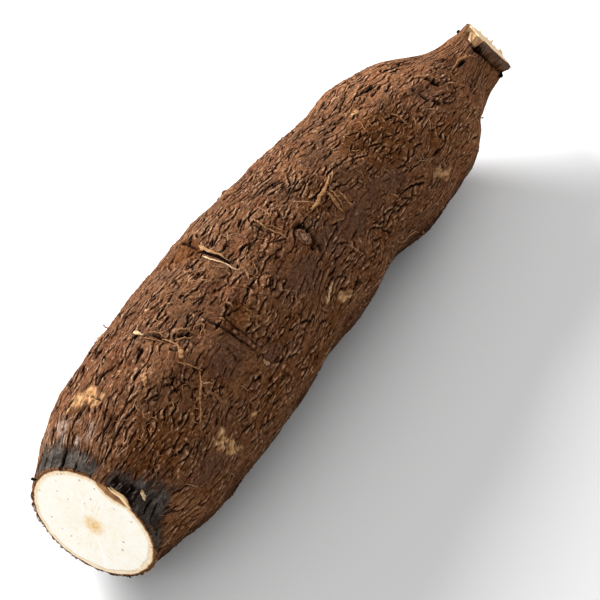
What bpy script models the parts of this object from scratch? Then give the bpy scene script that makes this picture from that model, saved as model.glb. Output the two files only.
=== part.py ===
"""One cassava root lying on its side, sawn square at its thick end and chopped from its stem at the neck.

Metres, +Z up. +X runs along the root from the sawn end to the neck, and the root rests on z = 0.
"""

import math

import bmesh
import bpy
from mathutils import Vector, noise

MM = 0.001
NODE_NAME = "cassava_root"

# Places on the skin are given as a distance along the root from the sawn face, in mm, and an angle round it
# in degrees: 0 is the +Y side, 90 the top, 180 the -Y side and 270 the underside.
LENGTH = 298 * MM  # along the root's middle, to the chop across its neck
HEIGHT_TO_WIDTH = 0.95  # a slice through the root is a little wider than it is high
SPARE_AT_SAW, SPARE_AT_CHOP = 7 * MM, 14 * MM  # how far the blank runs past its ends, for the cuts to trim

# The root's shape: distance, half the width, sideways bend towards +Y, height of the middle, all in mm.
STATIONS = (
    (-8.0, 22.0, -3.6, 33.0),
    (-1.0, 25.0, -3.6, 33.0),
    (10.0, 28.6, -2.8, 33.6),
    (18.0, 31.4, -1.8, 34.2),
    (35.0, 35.4, -1.2, 34.4),
    (60.0, 37.0, 0.2, 34.2),
    (90.0, 36.8, 1.6, 34.0),
    (120.0, 36.4, 3.8, 34.4),
    (150.0, 36.0, 3.4, 34.6),
    (180.0, 33.0, 4.0, 33.4),
    (205.0, 33.4, 1.8, 31.4),
    (225.0, 33.4, 2.2, 30.8),
    (240.0, 31.8, 0.8, 30.8),
    (250.0, 29.6, 0.2, 30.8),
    (257.5, 26.2, 0.0, 30.9),
    (264.0, 22.4, -0.8, 31.3),
    (273.0, 17.2, -2.2, 32.6),
    (281.5, 14.0, -4.2, 35.0),
    (288.0, 13.2, -6.2, 37.8),
    (296.5, 13.0, -7.8, 41.0),
    (310.0, 13.0, -10.2, 46.0),
)
SIDES = 96  # columns of faces round the root
RINGS = 63  # bands of faces along it
END_CROWDING = 0.45  # how much closer together the bands lie at the ends, where the shape turns fastest

# Bark, its wrinkles a few times as wide and as high as the real ones
LUMP_SIZE = 40 * MM
LUMP_HEIGHT = 1.3 * MM
WRINKLE_LENGTH = 17 * MM
WRINKLE_WIDTH = 6.5 * MM
WRINKLE_HEIGHT = 1.8 * MM
WRINKLE_DRIFT = 0.45  # how far the wrinkles wander from straight, as a share of their width
WRINKLE_STEEPNESS = 2.2  # how fast a crest falls away into the valleys beside it

# Crosswise scars left by side roots: distance, angle, half length
SCAR_WIDTH = 3.4 * MM
SCAR_DEPTH = 1.5 * MM
SCARS = (
    (58.0, 82.0, 11.0),
    (77.0, 117.0, 13.0),
    (105.0, 74.0, 17.0),
    (128.0, 100.0, 11.0),
    (54.0, 118.0, 8.0),
    (157.0, 116.0, 8.0),
    (213.0, 106.0, 10.0),
    (232.0, 62.0, 12.0),
    (88.0, 250.0, 13.0),
    (190.0, 300.0, 13.0),
    (140.0, 350.0, 12.0),
    (228.0, 215.0, 10.0),
    (40.0, 320.0, 12.0),
)

# Eyes, where a side root broke off and left a rimmed stub: distance, angle, radius
EYE_RIM_HEIGHT = 1.6 * MM
EYE_DIMPLE_DEPTH = 1.0 * MM
EYES = (
    (133.0, 118.0, 4.0),
    (79.0, 131.0, 3.0),
    (246.0, 104.0, 3.5),
    (112.0, 205.0, 4.0),
    (170.0, 20.0, 4.5),
    (66.0, 285.0, 4.0),
    (206.0, 262.0, 3.5),
)

# Patches where the outer bark has flaked off: distance, angle, half length along, half width round
PATCH_DEPTH = 1.1 * MM
PATCH_STEEPNESS = 3.0  # the patch reaches its full depth a third of the way in from its edge
PATCH_WRINKLES = 0.3  # the share of the wrinkles' height that is left in a patch
PATCHES = (
    (2.0, 72.0, 8.5, 11.0),
    (3.0, 122.0, 9.0, 7.0),
    (5.0, 152.0, 11.0, 10.0),
    (24.0, 63.0, 8.0, 4.5),
    (42.0, 155.0, 9.0, 5.0),
    (128.0, 156.0, 10.0, 5.0),
    (213.0, 160.0, 6.0, 5.0),
    (150.0, 240.0, 11.0, 6.0),
    (100.0, 320.0, 9.0, 6.0),
)

# Trimmed ends. A cut faces up from level by its lean, and is turned towards +Y by its turn, in degrees.
SAWN_AT = -1.2 * MM
SAW_LEAN, SAW_TURN = 3.0, 0.0
CHOP_LEAN, CHOP_TURN = 39.0, -33.0
CHIP_LEAN, CHIP_TURN = 68.0, 35.0  # a second blow that took a chip off the neck's top
CHIP_DEPTH = 2.6 * MM

# A collar of bark that stands out behind the chop, most on one side, with an undercut behind it
COLLAR_WIDTH = 3.4 * MM
COLLAR_HEIGHT = 1.3 * MM
UNDERCUT_DEPTH = 1.0 * MM
COLLAR_ANGLE = 165.0


def smooth_value(distance, column):
    """One column of STATIONS at a distance, in metres, on the smooth curve through its values."""
    at = distance / MM
    last = len(STATIONS) - 2
    i = next((k for k in range(last) if at < STATIONS[k + 1][0]), last)

    def slope(k):
        before, after = STATIONS[max(k - 1, 0)], STATIONS[min(k + 1, last + 1)]
        return (after[column] - before[column]) / (after[0] - before[0])

    start, end = STATIONS[i], STATIONS[i + 1]
    span = end[0] - start[0]
    t = (at - start[0]) / span
    value = (
        (2 * t**3 - 3 * t**2 + 1) * start[column]
        + (t**3 - 2 * t**2 + t) * span * slope(i)
        + (3 * t**2 - 2 * t**3) * end[column]
        + (t**3 - t**2) * span * slope(i + 1)
    )
    return value * MM


def middle(distance):
    """The middle of the root's slice at a distance."""
    return Vector((distance, smooth_value(distance, 2), smooth_value(distance, 3)))


def offset_round(angle, from_angle, radius):
    """Distance round the root from one angle to another, in mm."""
    return math.radians((angle - from_angle + 180) % 360 - 180) * radius / MM


def wrinkles(distance, across):
    """Lengthwise wrinkles: low in their valleys, sharp along their crests."""
    place = across + Vector((distance, 0, 0))
    drift = noise.noise_vector(place / (2 * WRINKLE_WIDTH)) * WRINKLE_DRIFT
    streak = across / WRINKLE_WIDTH + Vector((distance / WRINKLE_LENGTH, 0, 0)) + drift
    return WRINKLE_HEIGHT * (0.5 - WRINKLE_STEEPNESS * abs(noise.noise(streak)))


def scars(distance, angle, radius):
    """Each scar is a groove across the root with a low lip on both sides, dying out at its two tips."""
    height = 0.0
    for scar_distance, scar_angle, half_length in SCARS:
        along = (distance - scar_distance * MM) / SCAR_WIDTH
        around = offset_round(angle, scar_angle, radius) / half_length
        if abs(along) < 4 and abs(around) < 1:
            height += (along**2 - 1) * math.exp(-(along**2) / 2) * (1 - around**2)
    return height * SCAR_DEPTH


def eyes(distance, angle, radius):
    """Each eye is a rounded rim with a dimple inside it."""
    height = 0.0
    for eye_distance, eye_angle, eye_radius in EYES:
        away = math.hypot(distance / MM - eye_distance, offset_round(angle, eye_angle, radius)) / eye_radius
        height += EYE_RIM_HEIGHT * math.exp(-5 * (away - 1) ** 2) - EYE_DIMPLE_DEPTH * math.exp(-4 * away**2)
    return height


def patches(distance, angle, radius):
    """How far inside a flaked patch a place is: 0 outside it, 1 well inside."""
    inside = 0.0
    for patch_distance, patch_angle, half_length, half_width in PATCHES:
        along = (distance / MM - patch_distance) / half_length
        around = offset_round(angle, patch_angle, radius) / half_width
        inside = max(inside, min(1.0, PATCH_STEEPNESS * (1 - math.hypot(along, around))))
    return inside


def cut_normal(lean, turn, towards=1):
    """The way a cut faces. A cut made towards -1 faces away from the neck."""
    level = math.cos(math.radians(lean))
    return Vector((
        towards * level * math.cos(math.radians(turn)),
        level * math.sin(math.radians(turn)),
        math.sin(math.radians(lean)),
    ))


def collar(place, angle):
    """The collar behind the chop, and the undercut behind the collar."""
    behind = (middle(LENGTH) - place).dot(cut_normal(CHOP_LEAN, CHOP_TURN)) / COLLAR_WIDTH
    side = 0.5 + 0.5 * math.cos(math.radians(angle - COLLAR_ANGLE))
    if behind < 1:
        return COLLAR_HEIGHT * side
    return -UNDERCUT_DEPTH * side * math.exp(-4 * (behind - 1.8) ** 2)


def skin_point(distance, angle):
    """The point of the root's skin at a distance and an angle: the smooth form, with the bark's height added."""
    radius = smooth_value(distance, 1)
    turn = math.radians(angle)
    outwards = Vector((0, math.cos(turn), math.sin(turn)))
    smooth = middle(distance) + Vector((0, outwards.y, HEIGHT_TO_WIDTH * outwards.z)) * radius

    lumps = LUMP_HEIGHT * noise.noise((smooth - middle(distance) + Vector((distance, 0, 0))) / LUMP_SIZE)
    flaked = patches(distance, angle, radius)
    creased = wrinkles(distance, outwards * radius) * (1 - (1 - PATCH_WRINKLES) * flaked)
    marks = scars(distance, angle, radius) + eyes(distance, angle, radius) + collar(smooth, angle)
    return smooth + outwards * (lumps + creased + marks - PATCH_DEPTH * flaked)


def trim(mesh, point, normal):
    """Cuts off what lies past a plane, and closes the cut with a flat face."""
    everything = [*mesh.verts, *mesh.edges, *mesh.faces]
    cut = bmesh.ops.bisect_plane(mesh, geom=everything, plane_co=point, plane_no=normal, clear_outer=True)
    rim = [edge for edge in cut["geom_cut"] if isinstance(edge, bmesh.types.BMEdge)]
    for face in bmesh.ops.edgeloop_fill(mesh, edges=rim)["faces"]:
        face.smooth = False


def root_mesh():
    """The whole root as one closed mesh: a tube pushed out to the skin, then trimmed at both ends."""
    mesh = bmesh.new()
    bmesh.ops.create_cone(mesh, cap_ends=True, segments=SIDES, radius1=1, radius2=1, depth=1)
    lengthwise = [edge for edge in mesh.edges if abs(edge.verts[0].co.z - edge.verts[1].co.z) > 0.5]
    bmesh.ops.subdivide_edges(mesh, edges=lengthwise, cuts=RINGS - 1)
    for vert in mesh.verts:
        share = vert.co.z + 0.5
        share -= END_CROWDING * math.sin(math.tau * share) / math.tau
        distance = share * (SPARE_AT_SAW + LENGTH + SPARE_AT_CHOP) - SPARE_AT_SAW
        vert.co = skin_point(distance, math.degrees(math.atan2(vert.co.y, vert.co.x)))
    bmesh.ops.recalc_face_normals(mesh, faces=mesh.faces)
    for face in mesh.faces:
        face.smooth = True

    trim(mesh, middle(SAWN_AT), cut_normal(SAW_LEAN, SAW_TURN, towards=-1))
    trim(mesh, middle(LENGTH), cut_normal(CHOP_LEAN, CHOP_TURN))
    neck_top = middle(LENGTH) + Vector((0, 0, smooth_value(LENGTH, 1) * HEIGHT_TO_WIDTH))
    trim(mesh, neck_top - Vector((CHIP_DEPTH, 0, CHIP_DEPTH)), cut_normal(CHIP_LEAN, CHIP_TURN))
    return mesh


def rest_on_ground(mesh):
    """Centres the root over the origin, and flattens the little of it that would sink below z = 0."""
    for axis in (0, 1):
        low = min(vert.co[axis] for vert in mesh.verts)
        high = max(vert.co[axis] for vert in mesh.verts)
        for vert in mesh.verts:
            vert.co[axis] -= (low + high) / 2
    for vert in mesh.verts:
        vert.co.z = max(vert.co.z, 0.0)


def bark_material():
    made = bpy.data.materials.new("bark")
    made.use_nodes = True
    shader = made.node_tree.nodes["Principled BSDF"]
    shader.inputs["Base Color"].default_value = (0.16, 0.085, 0.045, 1.0)
    shader.inputs["Roughness"].default_value = 0.85
    shader.inputs["Metallic"].default_value = 0.0
    return made


def main():
    for thing in list(bpy.data.objects):
        bpy.data.objects.remove(thing)
    mesh = root_mesh()
    rest_on_ground(mesh)
    data = bpy.data.meshes.new(NODE_NAME)
    mesh.to_mesh(data)
    mesh.free()
    data.materials.append(bark_material())
    root = bpy.data.objects.new(NODE_NAME, data)
    bpy.context.scene.collection.objects.link(root)


if __name__ == "__main__":
    main()
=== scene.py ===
import math

import bmesh
import bpy
import numpy as np
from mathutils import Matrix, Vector, noise
from mathutils.bvhtree import BVHTree


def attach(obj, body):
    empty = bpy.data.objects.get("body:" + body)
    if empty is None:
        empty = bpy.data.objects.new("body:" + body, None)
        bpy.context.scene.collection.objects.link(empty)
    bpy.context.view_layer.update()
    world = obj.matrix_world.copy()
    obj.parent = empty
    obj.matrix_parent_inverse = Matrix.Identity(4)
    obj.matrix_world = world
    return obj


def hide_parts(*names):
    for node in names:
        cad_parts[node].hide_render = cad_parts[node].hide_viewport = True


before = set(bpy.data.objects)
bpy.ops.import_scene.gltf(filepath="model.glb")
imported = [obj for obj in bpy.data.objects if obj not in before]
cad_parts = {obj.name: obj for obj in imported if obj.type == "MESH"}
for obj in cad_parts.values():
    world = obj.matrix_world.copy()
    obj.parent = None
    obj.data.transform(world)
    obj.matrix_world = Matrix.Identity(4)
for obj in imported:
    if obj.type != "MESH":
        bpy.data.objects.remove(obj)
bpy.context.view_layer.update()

# The photograph's viewpoint: on the root's -Y side beyond its sawn end, looking down along it. Its frame is
# taken as 600 x 600.
AZIMUTH, ELEVATION = math.radians(-60), math.radians(45)
VIEW_DISTANCE = 0.95
SENSOR_MM = 36
LENS_MM = 146.6
AIM = Vector((-0.0130, -0.0088, 0.0229))

towards_camera = Vector((
    math.sin(AZIMUTH) * math.cos(ELEVATION),
    -math.cos(AZIMUTH) * math.cos(ELEVATION),
    math.sin(ELEVATION),
))
camera = bpy.data.objects.new("camera", bpy.data.cameras.new("camera"))
camera.data.sensor_width = SENSOR_MM
camera.data.lens = LENS_MM
camera.location = AIM + towards_camera * VIEW_DISTANCE
camera.rotation_euler = towards_camera.to_track_quat("Z", "Y").to_euler()
bpy.context.scene.collection.objects.link(camera)
bpy.context.scene.camera = camera


# The bark: a thin, dry, corky skin that split lengthwise into wavy flakes as the root swelled under it. The
# flakes' right-hand edges lift, and the splits beside them are deep, with painted shade in them. It wraps the
# root all the way round, and here and there a flake has come off, or the scar of a side root shows.
MM = 0.001
BARK_THICKNESS = 0.8
INNER_DEPTH = 3.0
COLUMNS = 640
SECTION_COUNT = 4
SECTION_RINGS = 148
RINGS = SECTION_COUNT * SECTION_RINGS

# Its form is one long barrel, drawn in to a neck where it hung from its stem. Rays from its middle line find
# the CAD solid's skin, and smoothing takes the solid's broad wrinkles out again, because the real ones are
# finer. Places on it are a distance from the sawn end in mm and an angle round it in degrees: 0 is the +Y
# side, 90 the top, 180 the -Y side and 270 the underside.
SMOOTHING_PASSES = 40
LATTICE_COLUMNS = 120
LATTICE_STEP = 2 * MM
SLICE_REACH = 3 * LATTICE_STEP
PAST_THE_NECK = 8 * LATTICE_STEP
COLLAR_WIDTH = 5.5 * MM
NECK_TRIM = 0.9 * MM
GLANCING = 0.2  # a ray that meets the skin flatter than this cosine tells nothing
ALONG_A_CUT = 0.995  # a face this close to a cut's own direction belongs to the cut


def facing(lean, turn, towards=1):
    """The way a cut faces: up from level by its lean, and round towards +Y by its turn, in degrees."""
    lean, turn = math.radians(lean), math.radians(turn)
    level = math.cos(lean)
    return np.array((towards * level * math.cos(turn), level * math.sin(turn), math.sin(lean)))


def read_rows(mesh, what="co"):
    """The places of a mesh's points, or their normals, as rows of three numbers."""
    values = np.empty(len(mesh.vertices) * 3)
    mesh.vertices.foreach_get(what, values)
    return values.reshape(-1, 3)


SAW_FACING = facing(3, 0, -1)
CHOP_FACING = facing(39, -33)
CHIP_FACING = facing(68, 35)
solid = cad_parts["cassava_root"].data
solid_points = read_rows(solid)
solid_tree = BVHTree.FromPolygons(solid_points.tolist(), [tuple(face.vertices) for face in solid.polygons])
sawn_end, neck_end = solid_points[:, 0].min(), solid_points[:, 0].max()
saw_reach = (solid_points @ SAW_FACING).max()
chop_reach = (solid_points @ CHOP_FACING).max() - NECK_TRIM
chip_reach = (solid_points @ CHIP_FACING).max()
chop_starts = solid_points[solid_points @ CHOP_FACING > chop_reach - 0.1 * MM, 0].min()
lattice_x = np.arange(sawn_end - SLICE_REACH, neck_end + PAST_THE_NECK, LATTICE_STEP)
whole = (lattice_x > sawn_end + SLICE_REACH) & (lattice_x < chop_starts - 2 * LATTICE_STEP)


def slice_middle(x, axis):
    near = solid_points[np.abs(solid_points[:, 0] - x) < SLICE_REACH, axis]
    return (near.min() + near.max()) / 2


def middle_along(axis):
    """The middle line's coordinate at every lattice_x, drawn straight on past where slices are whole."""
    known = np.array([slice_middle(x, axis) for x in lattice_x[whole]])
    known = np.convolve(np.pad(known, 3, mode="edge"), np.ones(7) / 7, mode="valid")
    line = np.interp(lattice_x, lattice_x[whole], known)
    past = lattice_x > lattice_x[whole][-1]
    slope = (known[-1] - known[-5]) / (4 * LATTICE_STEP)
    line[past] += (lattice_x[past] - lattice_x[whole][-1]) * slope
    return line


middle_y, middle_z = middle_along(1), middle_along(2)
lattice_angles = np.arange(LATTICE_COLUMNS) * math.tau / LATTICE_COLUMNS
lattice_radius = np.full((len(lattice_x), LATTICE_COLUMNS), np.nan)
for i, x in enumerate(lattice_x):
    start = Vector((x, middle_y[i], middle_z[i]))
    for j, angle in enumerate(lattice_angles):
        way = Vector((0, math.cos(angle), math.sin(angle)))
        hit, normal, _, reach = solid_tree.ray_cast(start, way)
        if hit is None or normal.dot(way) < GLANCING:
            continue
        cut_share = max(float(np.dot(normal, cut)) for cut in (SAW_FACING, CHOP_FACING, CHIP_FACING))
        before_collar = float(np.dot(hit, CHOP_FACING)) <= chop_reach - COLLAR_WIDTH
        if cut_share <= ALONG_A_CUT and before_collar:
            lattice_radius[i, j] = reach
for j in range(LATTICE_COLUMNS):
    known = np.isfinite(lattice_radius[:, j])
    lattice_radius[:, j] = np.interp(lattice_x, lattice_x[known], lattice_radius[known, j])

column_angles = np.arange(COLUMNS) * math.tau / COLUMNS
lattice_radius = np.stack([
    np.interp(column_angles, lattice_angles, row, period=math.tau) for row in lattice_radius
])


def form_points(x):
    """Points of the form: x holds a row of places along the root for each ring, one for each column."""
    along = (x - lattice_x[0]) / LATTICE_STEP
    below = np.clip(np.floor(along).astype(int), 0, len(lattice_x) - 2)
    share = along - below
    column = np.arange(COLUMNS)
    radius = lattice_radius[below, column] * (1 - share) + lattice_radius[below + 1, column] * share
    y = np.interp(x, lattice_x, middle_y) + radius * np.cos(column_angles)
    z = np.interp(x, lattice_x, middle_z) + radius * np.sin(column_angles)
    return np.stack([x, y, z], axis=-1)


def meets_cut(x, cut, reach):
    """Moves one row of places along the root until its points lie on a cut."""
    for _ in range(30):
        x = x - 0.7 * (form_points(x) @ cut - reach) / cut[0]
    return x


def smoothed(grid, passes):
    """A grid over the root with each point drawn to its neighbours. The rings at its ends stay."""
    for _ in range(passes):
        grid = (np.roll(grid, 1, axis=1) + 2 * grid + np.roll(grid, -1, axis=1)) / 4
        grid[1:-1] = (grid[:-2] + 2 * grid[1:-1] + grid[2:]) / 4
    return grid


first_x = meets_cut(np.full(COLUMNS, sawn_end), SAW_FACING, saw_reach)
last_x = meets_cut(np.full(COLUMNS, chop_starts), CHOP_FACING, chop_reach)
share = np.linspace(0, 1, RINGS + 1)[:, None]
form = smoothed(form_points(first_x + (last_x - first_x) * share), SMOOTHING_PASSES)

# By the saw cut the root is evenly round, where it grew free of other roots, and flares out at one side.
EVEN_RINGS = 30
EVEN_WAVES = 4
FLARE = 2.6 * MM
FLARE_RINGS = 9
FLARE_ANGLE = math.radians(178)


def bell(value, width, power=2):
    """1 where a value is 0, dying out past this width on both sides. A higher power flattens its top."""
    return np.exp(-((value / width) ** power))


def evened(ring, waves):
    """A ring of points drawn to its broad waves alone, so that its outline is even."""
    parts = np.fft.rfft(ring, axis=0)
    parts[waves + 1:] = 0
    return np.fft.irfft(parts, n=len(ring), axis=0)


flare_round = FLARE * np.clip(np.cos(column_angles - FLARE_ANGLE), 0, 1) ** 3
for number in range(EVEN_RINGS):
    share = (1 - number / EVEN_RINGS) ** 1.5
    form[number] = form[number] * (1 - share) + evened(form[number], EVEN_WAVES) * share
    outward = form[number] - form[number].mean(axis=0)
    outward /= np.linalg.norm(outward, axis=-1, keepdims=True)
    form[number] += outward * (bell(number, FLARE_RINGS) * flare_round)[:, None]


def slopes(grid):
    """How a grid changes from ring to ring and from column to column."""
    return np.gradient(grid, axis=0), (np.roll(grid, -1, axis=1) - np.roll(grid, 1, axis=1)) / 2


def grid_normals(grid):
    along, around = slopes(grid)
    normals = np.cross(around, along)
    return normals / np.linalg.norm(normals, axis=-1, keepdims=True)


out = grid_normals(form)
distance = (form[..., 0] - sawn_end) / MM
degrees = np.broadcast_to(np.degrees(column_angles), distance.shape)
to_saw = (saw_reach - form @ SAW_FACING) / MM
to_chop = (chop_reach - form @ CHOP_FACING) / MM
along_slope, around_slope = slopes(form)
ring_step = np.linalg.norm(along_slope, axis=-1) / MM
column_step = np.linalg.norm(around_slope, axis=-1) / MM
radius = column_step * COLUMNS / math.tau

# The bark's grain, which its flakes and wrinkles follow: its girth and radius and how far noise on it starts
# before the saw cut and runs, in mm, and how far it turns round the root in mm per mm.
GIRTH = 214.0
GRAIN_RADIUS = 34
LEAD_IN = 40
CELLS_LENGTH = 480
GRAIN_TURN = 0.05

# How the grain wanders: each line is the width and length of its bends, how far they go across and along, in
# mm, and the seeds of the two.
GRAIN_BENDS = (
    (55, 70, 4.5, 3.0, 31, 32), (20, 30, 2.0, 1.2, 37, 38), (6, 8, 0.9, 1.1, 33, 35),
    (2.2, 2.8, 0.45, 0.5, 34, 36),
)


def step_up(value, low, high):
    """0 below low, 1 above high, and a smooth step between them."""
    share = np.clip((value - low) / (high - low), 0, 1)
    return share * share * (3 - 2 * share)


def cells_of(width, length, shift=0.0):
    """Cells of this width and length in mm laid along the grain: how many go round, each point's place on
    them, and the cell that it lies in."""
    count = round(GIRTH / width)
    across, along = (side + shift) / GIRTH * count, (lengthways + LEAD_IN) / length
    return count, across, along, np.floor(across).astype(int), np.floor(along).astype(int)


def ripples(width, length, seed, shift=0.0):
    """Smooth noise over the bark, from about -1 to 1, whose bumps have this width and length in mm."""
    count, across, along, i, j = cells_of(width, length, shift)
    ways = np.random.default_rng(seed).random((count, int(CELLS_LENGTH / length) + 2)) * math.tau
    total = np.zeros_like(across)
    for di in (0, 1):
        for dj in (0, 1):
            way = ways[(i + di) % count, j + dj]
            past_i, past_j = across - i - di, along - j - dj
            near_i, near_j = 1 - np.abs(past_i), 1 - np.abs(past_j)
            weight = (near_i * near_j) ** 2 * (3 - 2 * near_i) * (3 - 2 * near_j)
            total += weight * (np.cos(way) * past_i + np.sin(way) * past_j)
    return total * 1.7


def flakes(width, length, seed):
    """Cracked flakes of about this width and length in mm. For each point: how far it lies from its flake's
    edge in mm, how far that edge runs lengthwise (below 0 on the flake's left side), a chance number of its
    flake, and how far its flake's middle lies along and across from it in mm."""
    count, across, along, i, j = cells_of(width, length)
    chances = np.random.default_rng(seed).random((count, int(CELLS_LENGTH / length) + 3, 3))
    found = []
    for di in (-1, 0, 1):
        for dj in (-1, 0, 1):
            chance = chances[(i + di) % count, j + dj]
            to_i = i + di + 0.08 + 0.84 * chance[..., 0] - across
            to_j = j + dj + 0.08 + 0.84 * chance[..., 1] - along
            found.append(np.stack([to_i * to_i + to_j * to_j, to_i, to_j, chance[..., 2]]))
    found = np.stack(found)
    order = np.argsort(found[:, 0], axis=0)[:2]
    own, next_one = np.take_along_axis(found, order[:, None], axis=0)
    gap_i, gap_j = next_one[1] - own[1], next_one[2] - own[2]
    gap = np.hypot(gap_i, gap_j) + 1e-6
    per_mm = np.hypot(gap_i / gap / width, gap_j / gap / length)
    inward = (next_one[0] - own[0]) / (2 * gap) / per_mm
    middle = own[2] * length, own[1] * GIRTH / count
    return inward, gap_i / gap / width / per_mm, own[3], middle


side = column_angles / math.tau * GIRTH + GRAIN_TURN * distance
lengthways = distance.copy()
for width, length, across_by, along_by, seed, other_seed in GRAIN_BENDS:
    side, lengthways = (
        side + across_by * ripples(width, length, seed),
        lengthways + along_by * ripples(width, length, other_seed),
    )
side_angle = side / GRAIN_RADIUS
grain = np.stack([
    lengthways * MM,
    GRAIN_RADIUS * MM * np.cos(side_angle),
    GRAIN_RADIUS * MM * np.sin(side_angle),
], axis=-1)
wobble_along, wobble_across = ripples(4, 4, 51), ripples(4, 4, 52)
broad_wobble = ripples(7, 8, 41)
ragged = 0.22 * ripples(3, 4, 61) + 0.14 * ripples(1.2, 1.6, 62)
edge, across_share, chance, _ = flakes(2.9, 8.0, 5)
fine_edge, fine_share, _, fine_middle = flakes(1.6, 3.0, 6)


def leaning_ripples(width, length, seed, lean):
    """Ripples whose crests lean to one side by this many mm, so that they drop steeply there."""
    return ripples(width, length, seed, -lean * ripples(width, length, seed))


def crests(width, length, seed, breadth):
    """Thin wavy crests of a breadth in mm, along the lines where such ripples cross zero."""
    field = leaning_ripples(width, length, seed, 0.3 * width)
    along, around = slopes(field)
    away = np.abs(field) / (np.hypot(along / ring_step, around / column_step) + 0.05)
    return bell(away, breadth)


def turned_from(angles, angle):
    """How far angles lie round from one angle, from -180 to 180 degrees."""
    return (angles - angle + 180) % 360 - 180


def across_from(angle):
    """How far round the root each point lies from an angle, in mm."""
    return turned_from(degrees, angle) * math.pi / 180 * radius


def on_side(angle, low, high):
    """1 on one side of the root and 0 away from it. Its soft edge lies between two cosines."""
    return step_up(np.cos(np.radians(degrees - angle)), low, high)


def spot(place, angle, half_length, half_width, shift=(0, 0)):
    """0 at a place on the bark and 1 on an oval round it, in its half length and half width in mm."""
    return np.hypot(
        (distance + shift[0] - place) / half_length, (across_from(angle) + shift[1]) / half_width
    )


def area(spots):
    """1 inside soft-edged ovals and 0 outside."""
    mask = np.zeros_like(distance)
    for oval in spots:
        mask = np.maximum(mask, 1 - step_up(spot(*oval) + 0.35 * broad_wobble, 0.7, 1.2))
    return mask


def patches(spots, raggedness):
    """1 where whole fine flakes have come off within ragged ovals and 0 elsewhere."""
    mask = np.zeros_like(distance)
    for oval in spots:
        mask = np.maximum(mask, spot(*oval, fine_middle) + raggedness * ragged < 1)
    return smoothed(mask, 1)


def shadow_round(mask, passes, wobble, low, high):
    """A broken dark line just outside a patch, where the bark beside it stands proud."""
    edge = smoothed(mask, passes)
    return 4 * edge * (1 - edge) * (1 - mask) * step_up(broad_wobble + 0.6 * wobble, low, high)


def line(place, angle, end_place, end_angle, wobble=0.5):
    """How far each point lies from a line between two places, in mm, and how far along the line."""
    to_x = distance - place + wobble * wobble_along
    to_y = across_from(angle) + wobble * wobble_across
    run_x = end_place - place
    run_y = (end_angle - angle) * math.pi / 180 * radius
    share = np.clip((to_x * run_x + to_y * run_y) / (run_x * run_x + run_y * run_y + 1e-9), 0, 1)
    return np.hypot(to_x - share * run_x, to_y - share * run_y), share


# Where the outer bark has come off by the saw cut, grey under-bark shows, nearly black in the sooty patches.
# Tan patches are where a flake broke off freshly. Every spot is: place, angle, half length and half width in
# mm. One strip of outer bark still stands amid the grey.
STRIP_OF_BARK = (4, 103, 9, 2.6)
GREY_PATCHES = (
    (3, 42, 9, 10), (3, 56, 7.5, 10), (3, 72, 6.5, 10), (3, 88, 5.5, 7), (4, 122, 6, 8.5),
    (6, 140, 8.5, 7.5), (8, 153, 8.5, 6.5), (3, 166, 6, 8), (3, 232, 8, 12), (6, 281, 10, 15),
    (3, 331, 7, 10),
)
SOOTY_PATCHES = (
    (6.0, 117, 2.6, 2.2), (6.6, 122, 2.2, 2.4), (5.4, 128, 3.2, 2.6), (7.2, 132, 2.0, 2.2),
    (2.6, 134, 2.4, 2.2), (4, 142, 1.0, 2.4), (4, 290, 5, 8),
)
TAN_PATCHES = (
    (29.8, 60, 3.2, 4.2), (27.6, 52.5, 2.4, 2.8), (24.8, 50, 2.0, 1.2), (29, 69, 1.4, 2.8),
    (44.4, 152.8, 3.4, 3.4), (46.0, 158.0, 2.6, 2.4), (47.4, 163, 3.0, 1.9), (49.5, 168, 1.6, 1.2),
    (130.2, 152.2, 1.7, 0.8), (127.8, 154.4, 1.8, 1.0), (125.2, 156.6, 1.5, 1.1), (134.6, 166.4, 1.6, 1.2),
    (137.2, 167.6, 1.7, 0.9), (132.6, 163.4, 1.0, 0.9), (131.0, 158.0, 0.8, 0.7), (58.9, 157.5, 0.8, 0.7),
    (76.1, 187.3, 1.0, 0.9), (216, 160, 3.2, 2.2), (219.3, 166.5, 2.8, 1.8), (208.7, 79.9, 1.7, 1.5),
    (31.0, 65.0, 1.8, 2.2), (193.5, 67, 2.6, 0.9), (54, 140, 1.2, 0.9), (63, 160, 1.5, 0.8),
    (69, 165, 1.2, 0.7), (151, 240, 5.5, 3.4), (147, 249, 3, 2), (100, 318, 4.5, 2.8), (178, 20, 2.8, 1.8),
    (238, 290, 3.0, 2.2), (64, 12, 1.8, 1.4),
)
grey = patches(GREY_PATCHES, 0.8) * (1 - bell(spot(*STRIP_OF_BARK), 1.1, 4))
grey *= step_up(to_saw + 0.6 * ragged, 0.35, 0.9)
grey_edge = shadow_round(grey, 4, wobble_along, -0.4, 0.2) * step_up(to_saw, 1.5, 3.0)
sooty = patches(SOOTY_PATCHES, 1.4)
tan = patches(TAN_PATCHES, 1.2)
tan_edge = shadow_round(tan, 5, wobble_across, -0.2, 0.3)

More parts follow.
